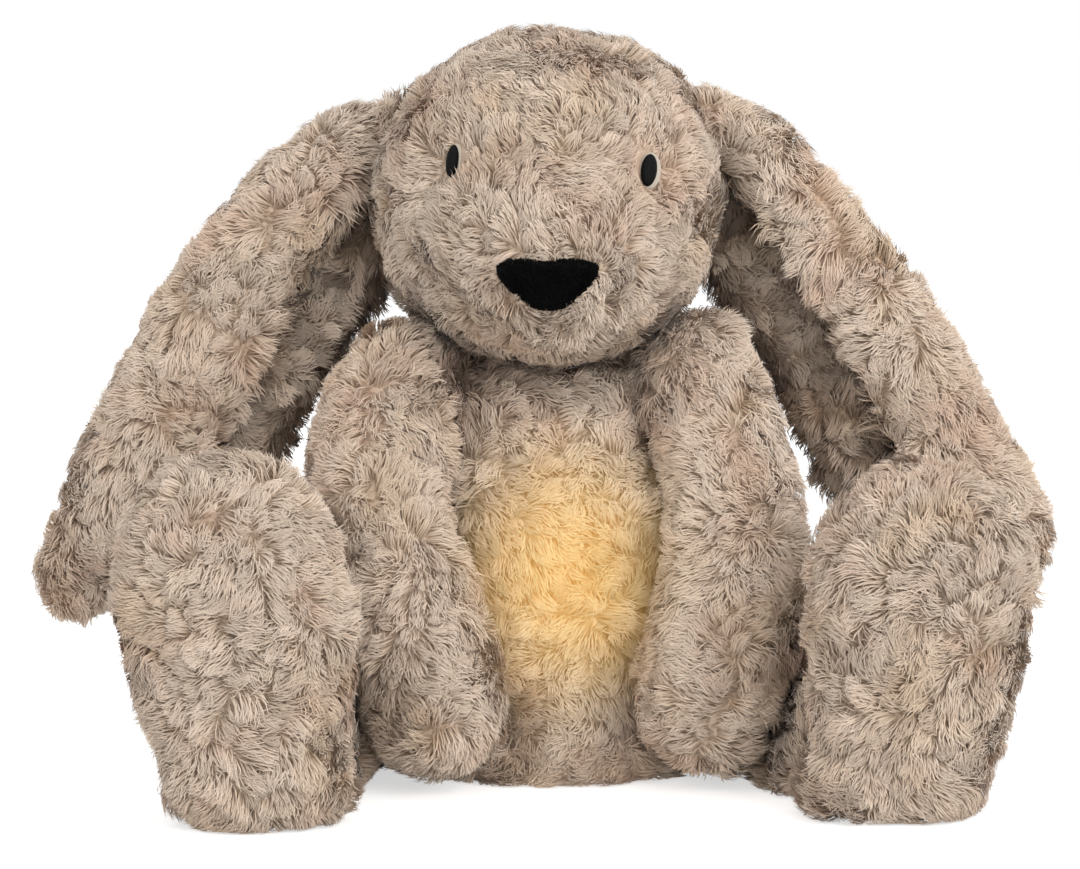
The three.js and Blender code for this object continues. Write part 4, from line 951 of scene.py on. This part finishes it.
def furred_mesh(name: str, skin: Skin, ribbons: Ribbons) -> bpy.types.Object:
    """Makes one piece of a skin and its strands, with the fibre map and the pile attribute.

    Args:
        name: The piece's name.
        skin: The skin.
        ribbons: The strands.

    Returns:
        The new piece.
    """
    points, triangles, values, shading = ribbons.faces()
    under = np.stack([np.full(len(skin), 0.3), np.full(len(skin), 0.5), ribbons.skin_tone_and_shade], axis=1)
    all_triangles = np.concatenate([skin.triangles, triangles + len(skin)])
    mesh = bpy.data.meshes.new(name)
    mesh.vertices.add(len(skin) + len(points))
    write_rows(mesh.vertices, "co", np.concatenate([skin.points, points]))
    mesh.loops.add(all_triangles.size)
    write_rows(mesh.loops, "vertex_index", all_triangles, np.int32)
    mesh.polygons.add(len(all_triangles))
    write_rows(mesh.polygons, "loop_start", np.arange(0, all_triangles.size, 3), np.int32)
    mesh.update(calc_edges=True)
    mesh.shade_smooth()
    mesh.normals_split_custom_set_from_vertices(np.concatenate([skin.normals, shading]))
    pile = mesh.attributes.new("pile", "FLOAT_VECTOR", "POINT")
    write_rows(pile.data, "vector", np.concatenate([under, values]))
    layer = mesh.uv_layers.new(name="OFBake")
    write_rows(layer.data, "uv", fibre_map(skin, ribbons, triangles, values[:, 0]))
    return add_object(name, mesh)


# Sewn pieces


@dataclass(frozen=True)
class Bump:
    """A spot where the stuffing lies fuller, or thinner where the height is below 0. Sizes are in mm."""

    centre: Triple
    reach: Triple
    height: float
    way: Triple | None = None

    def moved(self, skin: Skin) -> np.ndarray:
        """The skin's points with the bump added, along its own way or else along the normals."""
        offset = (skin.points - np.array(self.centre) * MM) / (np.array(self.reach) * MM)
        share = self.height * MM * np.exp(-(offset**2).sum(axis=1, keepdims=True))
        return skin.points + share * (skin.normals if self.way is None else np.array(self.way))


@dataclass
class FurPiece:
    """A stuffed or padded piece of fur fabric, made from the solid of its node."""

    node: str
    body: str
    finish: Finish
    pile: Pile
    inset: float = 0.2 * MM
    voxel: float = 2.6 * MM
    smoothing: int = 3
    fill: float = 0.8
    slot: str = "fur"
    outer_only: bool = False
    bumps: tuple[Bump, ...] = ()

    def skin(self) -> Skin:
        """Rounds the node's solid off and draws it in to the fabric under the pile."""
        piece = rounded_copy(self.node, f"{self.node}_skin", self.voxel, self.smoothing)
        skin = Skin.of(piece)
        move = np.full(len(skin), self.inset)
        if self.outer_only:
            move *= self.pile.kept(skin)
        skin.points = skin.points - skin.normals * move[:, None]
        for bump in self.bumps:
            skin.points = bump.moved(skin)
        skin.points[:, 2] = np.maximum(skin.points[:, 2], 0.0)
        bpy.data.objects.remove(piece)
        return skin

    def build(self) -> None:
        """Builds the piece with its pile, dresses it and ties it to the frame."""
        skin = self.skin()
        ribbons = self.pile.grow(skin, neighbours(self.node))
        piece = furred_mesh(f"{self.node}_pile", skin, ribbons)
        settle(piece, self.node, self.body, self.finish)


@dataclass
class FoldedEar(FurPiece):
    """A lop ear folded lengthwise. The edge of its front flap is drawn in, which shows more of the rear one.

    The inner edge is the one that faces a point below, given by its distances from the middle and from the floor.
    """

    draw_in: float = 0.0
    below: tuple[float, float] = (55 * MM, 70 * MM)

    def skin(self) -> Skin:
        """Draws the front flap's inner edge in and leaves the inside of the fold unpadded."""
        skin = super().skin()
        *back, middle = self.pile.fold
        depth = skin.points @ np.array(back) - middle
        side = 1.0 if skin.points[:, 0].mean() > 0 else -1.0
        inward = np.array([side * self.below[0], 0.0, self.below[1]]) - skin.points
        inward[:, 1] = 0.0
        inward = unit(inward)
        facing = np.clip((skin.normals * inward).sum(axis=1), 0.0, 1.0)
        edge = facing * np.clip((2 * MM - depth) / (3 * MM), 0.0, 1.0)
        skin.points = skin.points - inward * (self.draw_in * edge)[:, None]
        hidden = np.maximum(self.pile.folded(skin), edge)
        skin.points = skin.points + skin.normals * (self.inset * hidden)[:, None]
        return skin


SIDES = ("left", "right")
SEWN = ("torso_cover", "head", "tail", "back_flap") + tuple(
    f"{limb}_{side}" for limb in ("ear", "arm", "leg", "foot") for side in SIDES
)
NEAR = 15 * MM


def neighbours(node: str) -> BVHTree | None:
    """A tree of the sewn pieces round one of them, for measuring the room between them.

    Args:
        node: The piece in the middle.

    Returns:
        The tree, or nothing where no piece is near.
    """
    low, high = (np.array(corner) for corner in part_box(node))
    points: list[Vector] = []
    faces: list[tuple[int, ...]] = []
    for other in SEWN:
        other_low, other_high = (np.array(corner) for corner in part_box(other))
        if other == node or (other_low > high + NEAR).any() or (other_high < low - NEAR).any():
            continue
        mesh = frame["nodes"][other].data
        start = len(points)
        points += [vertex.co.copy() for vertex in mesh.vertices]
        faces += [tuple(start + index for index in face.vertices) for face in mesh.polygons]
    return BVHTree.FromPolygons(points, faces) if faces else None


FUR = LongPileFur("long_pile_faux_fur")
# Fur over and beside the lamp carries the painted glow
LIT_FUR = LongPileFur("long_pile_faux_fur_over_the_lamp", glow=BellyGlow())
SIDE_FUR = LongPileFur("long_pile_faux_fur_beside_the_lamp", glow=BellyGlow(painted_glow_share=0.45, strength=0.04))


@dataclass
class PlushBody:
    """The body with its tail and the flap over the pocket."""

    cut: PileCut = PileCut(width=0.48 * MM, per_square_mm=1.75)
    tail_cut: PileCut = PileCut(fall=0.1)
    flap_cut: PileCut = PileCut(lift=4 * MM, lean=6 * MM)
    lap: Bump = Bump((6, -48, 2), (70, 20, 9), 12, way=(0.0, -1.0, -0.3))

    def build(self) -> None:
        """Builds the three furred pieces of the body."""
        pile = Pile(self.cut, seed=11, outward_only=tuple(middle_of("torso_cover")[:2]))
        FurPiece("torso_cover", "torso", LIT_FUR, pile, outer_only=True, bumps=(self.lap,)).build()
        FurPiece("tail", "torso", FUR, Pile(self.tail_cut, seed=12), voxel=1.6 * MM).build()
        FurPiece(
            "back_flap",
            "back_flap",
            FUR,
            Pile(self.flap_cut, seed=13, facing=(0.0, 1.0, 0.0)),
            inset=1.0 * MM,
            voxel=1.4 * MM,
            smoothing=2,
            outer_only=True,
            fill=0.3,
        ).build()


@dataclass(frozen=True)
class Eye:
    """One embroidered eye and the felt behind it: half sizes and places in mm, and the tilt against the clock."""

    side: str
    way: Triple
    tilt: float
    half: Triple
    felt_half: Triple
    felt_shift: float
    bald: float
    sunk: float = 0.5
    felt_sunk: float = 2.2
    clearing_sunk: float = 3.0


@dataclass
class PlushHead:
    """The head with its ears, nose and eyes. Left and right differ as in the photograph."""

    turn: float = math.radians(-4)
    # Painted shade: the head's fur is coloured darker by this share
    tone: float = 0.82
    cut: PileCut = PileCut(lift=4 * MM, lean=6 * MM, lock=6 * MM, fall=0.15)
    ear_cut: PileCut = PileCut(lift=4.7 * MM, fall=0.5)
    nap: PileCut = PileCut(
        lift=1.3 * MM, lean=0.7 * MM, width=0.3 * MM, per_square_mm=7.0, lock=2 * MM, gather=0.2, curl=0.1 * MM
    )
    eyes: tuple[Eye, Eye] = (
        Eye(
            "left",
            way=(0.568, -0.794, 0.212),
            tilt=math.radians(-19),
            half=(3.0, 5.6, 1.9),
            felt_half=(4.4, 6.4, 1.7),
            felt_shift=1.6,
            bald=4.5,
        ),
        Eye(
            "right",
            way=(-0.532, -0.8, 0.266),
            tilt=math.radians(2),
            half=(2.2, 5.6, 1.9),
            felt_half=(3.0, 6.4, 1.7),
            felt_shift=-0.3,
            bald=3.8,
        ),
    )
    ear_middle: Triple = (0.0, -0.6 * MM, 0.0)
    ear_draw_in: tuple[float, float] = (8 * MM, 2 * MM)
    head_bumps: tuple[Bump, ...] = (Bump((38, 0, 236), (20, 40, 18), 3), Bump((-47, -10, 158), (14, 30, 12), 3))
    ear_bumps: tuple[tuple[Bump, ...], ...] = (
        (
            Bump((106, 0, 198), (42, 60, 42), -3.8),
            Bump((165, 0, 86), (16, 60, 26), 2.5),
            Bump((172, 0, 54), (14, 60, 16), -10),
        ),
        (
            Bump((-57, 0, 231), (15, 60, 14), -6),
            Bump((-84, 0, 223), (12, 60, 12), -3.5),
            Bump((-132, 0, 170), (34, 60, 44), 2.2),
        ),
    )

    def turned(self, way: Triple) -> Vector:
        """A direction on the head, turned as the head is."""
        result = Vector(way).normalized()
        result.rotate(Euler((0, 0, self.turn)))
        return result

    def clearings(self) -> tuple[Clearing, ...]:
        """Where the pile is trimmed, round the eyes and the nose, and where it is combed together, above the nose."""
        spots = []
        for eye in self.eyes:
            centre = middle_of(f"eye_{eye.side}") - np.array(self.turned(eye.way)) * eye.clearing_sunk * MM
            spots.append(
                Clearing(tuple(centre), bald=eye.bald * MM, fade=4 * MM, push=1.8, squash_z=0.6, shortest=0.35)
            )
        low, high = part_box("nose")
        nose = ((low[0] + high[0]) / 2, low[1] + 4 * MM, (low[2] + high[2]) / 2)
        spots.append(Clearing(nose, bald=11.5 * MM, fade=5 * MM, push=0.4, squash_z=1.9, shortest=0.8))
        above = (nose[0], low[1] + 1 * MM, high[2] - 3 * MM)
        spots.append(Clearing(above, bald=0.0, fade=9 * MM, push=-4.0, shortest=1.0))
        return tuple(spots)

    def build(self) -> None:
        """Builds the head and everything on it."""
        tip = tuple(middle_of("nose"))
        pile = Pile(
            self.cut, seed=21, clearings=self.clearings(), radiate_from=tip, radiate=0.9, tone=self.tone
        )
        FurPiece("head", "head", FUR, pile, bumps=self.head_bumps).build()
        back = self.turned((0, 1, 0))
        fold = (*back, back.dot(Vector(self.ear_middle)))
        # The ears get stronger painted shade where they lie closed in and inside the fold
        for number, ear in enumerate(f"ear_{side}" for side in SIDES):
            FoldedEar(
                ear,
                ear,
                FUR,
                Pile(self.ear_cut, seed=22 + number, fold=fold, deepen=2.3),
                inset=-2.0 * MM,
                voxel=1.8 * MM,
                smoothing=2,
                bumps=self.ear_bumps[number],
                draw_in=self.ear_draw_in[number],
            ).build()
        self.build_nose()
        for eye in self.eyes:
            self.build_eye(eye)

    def build_nose(self) -> None:
        """Builds the velour nose with its short nap, narrower at its lower corners."""
        low, high = (corner / MM for corner in np.array(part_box("nose")))
        middle = (low + high) / 2
        corners = tuple(Bump((x, middle[1], low[2] + 4), (4.5, 20, 4), -2) for x in (low[0] + 5, high[0] - 5))
        FurPiece(
            "nose",
            "head",
            ShortPile("black_cotton_velour", "010101", "060606", roughness=0.8, sheen=0.02, gloss=0.08),
            Pile(self.nap, seed=31),
            inset=0.8 * MM,
            voxel=0.7 * MM,
            smoothing=5,
            slot="velour",
            bumps=(*corners, Bump((middle[0], middle[1], low[2]), (6, 20, 4), 1)),
        ).build()

    def build_eye(self, eye: Eye) -> None:
        """Builds one embroidered eye and the felt behind it."""
        way = self.turned(eye.way)
        across = Vector((0, 0, 1)).cross(way).normalized()
        node = f"eye_{eye.side}"
        place = Vector(middle_of(node))
        felt_place = place + across * eye.felt_shift * MM - way * eye.felt_sunk * MM
        felt = ShortPile("pale_wool_felt", "A89C8D", "CDC1B2", roughness=0.95, sheen=0.2)
        stitches = SatinStitch("black_satin_stitch")
        backing = self.pad(f"eye_backing_{eye.side}_felt", felt_place, way, eye.tilt, eye.felt_half)
        settle(backing, f"eye_backing_{eye.side}", "head", felt)
        pad = self.pad(f"{node}_stitches", place - way * eye.sunk * MM, way, eye.tilt, eye.half)
        settle(pad, node, "head", stitches)

    def pad(self, name: str, place: Vector, way: Vector, tilt: float, half: Triple) -> bpy.types.Object:
        """Adds an oval pad.

        Args:
            name: The pad's name.
            place: Its middle.
            way: The way that it faces.
            tilt: How far it is turned on its face, counted against the clock.
            half: Half its width, half its height and half its thickness, in mm.

        Returns:
            The pad.
        """
        turn = way.to_track_quat("Z", "Y").to_matrix() @ Matrix.Rotation(tilt, 3, "Z")
        scale = [size * MM for size in half]
        bpy.ops.mesh.primitive_uv_sphere_add(
            segments=36, ring_count=18, radius=1, location=place, rotation=turn.to_euler(), scale=scale
        )
        pad = bpy.context.object
        pad.name = name
        make_active(pad)
        bpy.ops.object.transform_apply(location=True, rotation=True, scale=True)
        bpy.ops.object.shade_smooth()
        pile = pad.data.attributes.new("pile", "FLOAT_VECTOR", "POINT")
        write_rows(pile.data, "vector", np.full((len(pad.data.vertices), 3), 0.8))
        return pad


@dataclass
class PlushLimbs:
    """The arms, legs and feet. Left and right differ as in the photograph."""

    arm_cut: PileCut = PileCut(fall=0.6)
    leg_cut: PileCut = PileCut(fall=0.2)
    foot_cut: PileCut = PileCut()
    # Painted light and shade: the feet are coloured darker and the arms lighter, one more than the other, for how the
    # lamps fall on them; the arms also get less painted shade where they lie closed in
    foot_painted_shade: float = 0.8
    arm_painted_light: tuple[float, float] = (1.3, 1.1)
    arm_deepen: tuple[float, float] = (0.4, 0.8)
    arm_bumps: tuple[tuple[Bump, ...], ...] = (
        (
            Bump((47, -30, 150), (20, 20, 20), 3.5),
            Bump((84, -60, 60), (16, 40, 24), 4),
            Bump((86, -50, 94), (12, 30, 14), -3.5),
        ),
        (Bump((-56, -30, 150), (20, 20, 20), 3.5), Bump((-76, -30, 114), (14, 40, 20), 3.5)),
    )
    foot_bumps: tuple[tuple[Bump, ...], ...] = (
        (Bump((88, -112, 5), (18, 34, 12), 9, way=(-1.0, 0.0, -0.2)),),
        (
            Bump((-72, -112, 5), (18, 34, 12), 6, way=(1.0, 0.0, -0.2)),
            Bump((-127, -105, 20), (14, 50, 26), -2.5),
        ),
    )
    shins: tuple[Bump, Bump] = (
        Bump((76, -79, 4), (18, 28, 10), 11, way=(-0.8, -0.6, -0.3)),
        Bump((-62, -79, 4), (18, 28, 10), 11, way=(0.8, -0.6, -0.3)),
    )

    def build(self) -> None:
        """Builds the six furred pieces."""
        for number, side in enumerate(SIDES):
            arm = Pile(self.arm_cut, seed=41 + number, deepen=self.arm_deepen[number], tone=self.arm_painted_light[number])
            FurPiece(f"arm_{side}", f"arm_{side}", SIDE_FUR, arm, bumps=self.arm_bumps[number]).build()
            leg = Pile(self.leg_cut, seed=43 + number, combed=(0.0, -1.0, -0.3))
            FurPiece(f"leg_{side}", f"leg_{side}", FUR, leg, bumps=(self.shins[number],)).build()
            sole = tuple(middle_of(f"foot_{side}") + np.array([0.0, 0.0, 12 * MM]))
            foot = Pile(self.foot_cut, seed=45 + number, radiate_from=sole, radiate=1.0, tone=self.foot_painted_shade)
            FurPiece(f"foot_{side}", f"leg_{side}", FUR, foot, bumps=self.foot_bumps[number]).build()


@dataclass
class Pocket:
    """What lines and fastens the pocket: the pouch, the fibre filling and the two tapes.

    The pouch and the filling have the finest detail that is kept, and then the depth of their wrinkles.
    """

    span: float = 9 * MM
    pouch: tuple[float, float] = (1.3 * MM, 0.12 * MM)
    filling: tuple[float, float] = (2.8 * MM, 0.5 * MM)
    nap: PileCut = PileCut(
        lift=0.5 * MM, lean=0.4 * MM, width=0.16 * MM, per_square_mm=5.0, lock=1.2 * MM, gather=0.0, curl=0.1 * MM
    )

    def soft_copy(self, node: str, voxel: float, wrinkle: float, seed: int) -> bpy.types.Object:
        """Makes a smooth, slightly wrinkled copy of a node's solid.

        Args:
            node: The CAD node.
            voxel: The finest detail that is kept.
            wrinkle: How far the surface is moved.
            seed: Fixes the wrinkles.

        Returns:
            The new piece.
        """
        piece = rounded_copy(node, f"{node}_soft", voxel, smoothing=3)
        skin = Skin.of(piece)
        moved = skin.points + skin.normals * (wrinkle * (waves(skin.points, self.span, seed)[:, :1] - 1))
        write_rows(piece.data.vertices, "co", moved)
        piece.data.update()
        piece.data.shade_smooth()
        return piece

    def build(self) -> None:
        """Builds the four pieces."""
        pouch = self.soft_copy("module_pouch", *self.pouch, seed=61)
        settle(pouch, "module_pouch", "torso", WovenCloth("cotton_pouch_cloth"))
        filling = self.soft_copy("torso_filling", *self.filling, seed=62)
        settle(filling, "torso_filling", "torso", FibreFill("polyester_fibre_fill"))
        tape = ShortPile("nylon_fastening_tape", "B5A791", "D9CDBB", roughness=0.6, sheen=0.1)
        jobs = (("flap_hook_tape", "back_flap", -1.0), ("torso_loop_tape", "torso", 1.0))
        for number, (node, body, way) in enumerate(jobs):
            FurPiece(
                node,
                body,
                tape,
                Pile(self.nap, seed=65 + number, facing=(0.0, way, 0.0)),
                inset=0.0,
                voxel=0.5 * MM,
                smoothing=1,
                slot="tape",
                fill=0.1,
                outer_only=True,
            ).build()


class Moulding(Enum):
    """The rigid pieces by what they are made of."""

    SHELL = "shell"
    BUTTON = "button"
    CHIP = "chip"
    LAMP = "led"
    CELL = "cell"
    CONE = "cone"
    BOARD = "board"
    STEEL = "steel"
    DOME = "frosted"


@dataclass
class SleepModule:
    """The light and sound module: its solids stay, and each gets its finish."""

    finishes: dict[Moulding, Finish] = field(
        default_factory=lambda: {
            Moulding.SHELL: MouldedPlastic("ivory_abs_shell", "F1EEE6", 0.42),
            Moulding.BUTTON: MouldedPlastic("taupe_abs_button", "B5A38E", 0.38),
            Moulding.CHIP: MouldedPlastic("black_epoxy_package", "1B1B1D", 0.5),
            Moulding.LAMP: FrostedDome("lit_lamp_lens", "FFF4CF", "FFD070"),
            Moulding.CELL: MouldedPlastic("printed_cell_jacket", "3A7D4F", 0.3),
            Moulding.CONE: MouldedPlastic("black_paper_cone", "26262A", 0.85, grain=0.8 * MM, grain_depth=0.08 * MM),
            Moulding.BOARD: CircuitLaminate("green_circuit_laminate"),
            Moulding.STEEL: DrawnSteel("nickel_plated_steel"),
            Moulding.DOME: FrostedDome("milky_polycarbonate_dome"),
        }
    )

    def build(self) -> None:
        """Dresses every rigid node by its slot in the record."""
        kinds = {kind.value: kind for kind in Moulding}
        for part in frame["record"]["subparts"]:
            kind = kinds.get(part["material_slot"])
            if kind is None:
                continue
            node = frame["nodes"][part["node"]]
            material = self.finishes[kind].build()
            node.data.materials.clear()
            node.data.materials.append(material)
            log.info("%s: %s", part["node"], material.name)


# Studio


@dataclass(frozen=True)
class Lamp:
    """A square soft lamp."""

    name: str
    place: Triple
    size: float
    power: float


@dataclass
class Studio:
    """The camera at the photograph's angle, a plain pale floor and soft light."""

    azimuth: float = math.radians(4)
    elevation: float = math.radians(6)
    distance: float = 1.6
    focal: float = 154.6
    aim: Triple = (-2.8 * MM, 0.0, 112 * MM)
    world_light: float = 0.55
    lamps: tuple[Lamp, ...] = (
        Lamp("key", (0.95, -1.4, 0.95), size=1.1, power=15.0),
        Lamp("front", (0.25, -1.9, 0.45), size=1.0, power=6.0),
        Lamp("fill", (-1.3, -1.1, 0.7), size=1.4, power=6.0),
        Lamp("top", (0.0, 0.3, 1.9), size=1.5, power=4.0),
    )

    def build(self) -> None:
        """Builds the camera, the floor, the world and the lamps."""
        self.build_camera()
        self.build_floor()
        self.build_world()
        for lamp in self.lamps:
            self.build_lamp(lamp)
        bpy.context.scene.view_settings.view_transform = "Standard"

    def build_camera(self) -> None:
        """Places the camera on its sphere round the aim."""
        data = bpy.data.cameras.new("camera")
        data.lens = self.focal
        data.sensor_width = 36.0
        data.clip_end = 20.0
        camera = add_object("camera", data)
        level = math.cos(self.elevation)
        way = Vector((-math.sin(self.azimuth) * level, -math.cos(self.azimuth) * level, math.sin(self.elevation)))
        camera.location = Vector(self.aim) + way * self.distance
        camera.rotation_euler = (-way).to_track_quat("-Z", "Y").to_euler()
        bpy.context.scene.camera = camera

    def build_floor(self) -> None:
        """Lays a pale floor that shows white where no shadow falls."""
        bpy.ops.mesh.primitive_plane_add(size=6.0, location=(0, 0, -0.5 * MM))
        floor = bpy.context.object
        floor.name = "floor"
        material = bpy.data.materials.new("pale_paper_backdrop")
        tree = empty_tree(material)
        paper = add_node(tree, "ShaderNodeBsdfDiffuse", {"Color": colour("EFEFEF")}).outputs[0]
        lift = add_node(tree, "ShaderNodeEmission", {"Color": colour("FFFFFF"), "Strength": 0.6}).outputs[0]
        seen = add_node(tree, "ShaderNodeAddShader", links={0: paper, 1: lift}).outputs[0]
        path = add_node(tree, "ShaderNodeLightPath")
        links = {0: path.outputs["Is Camera Ray"], 1: paper, 2: seen}
        mix = add_node(tree, "ShaderNodeMixShader", links=links)
        add_node(tree, "ShaderNodeOutputMaterial", links={"Surface": mix.outputs[0]})
        floor.data.materials.append(material)

    def build_world(self) -> None:
        """Fills the room with even light and shows white behind the object, in reflections and through glass."""
        world = bpy.data.worlds.new("studio")
        tree = empty_tree(world)
        path = add_node(tree, "ShaderNodeLightPath")
        seen = path.outputs["Is Camera Ray"]
        for ray in ("Is Glossy Ray", "Is Transmission Ray"):
            links = {0: seen, 1: path.outputs[ray]}
            seen = add_node(tree, "ShaderNodeMath", links=links, operation="MAXIMUM").outputs[0]
        bounds = {"To Min": self.world_light, "To Max": 1.0}
        strength = add_node(tree, "ShaderNodeMapRange", bounds, {"Value": seen}).outputs["Result"]
        light = add_node(tree, "ShaderNodeBackground", {"Color": colour("FFFFFF")}, {"Strength": strength})
        add_node(tree, "ShaderNodeOutputWorld", links={"Surface": light.outputs[0]})
        bpy.context.scene.world = world

    def build_lamp(self, lamp: Lamp) -> None:
        """Adds a lamp that looks at the object's middle."""
        data = bpy.data.lights.new(lamp.name, "AREA")
        data.energy = lamp.power
        data.size = lamp.size
        thing = add_object(lamp.name, data)
        thing.location = lamp.place
        thing.rotation_euler = (Vector(self.aim) - Vector(lamp.place)).to_track_quat("-Z", "Y").to_euler()


def main() -> None:
    """Builds the studio and every sub-assembly in order."""
    logging.basicConfig(level=logging.INFO, format="%(message)s")
    for part in (Studio(), SleepModule(), Pocket(), PlushBody(), PlushHead(), PlushLimbs()):
        log.info("Building %s", type(part).__name__)
        part.build()


if __name__ == "__main__":
    main()
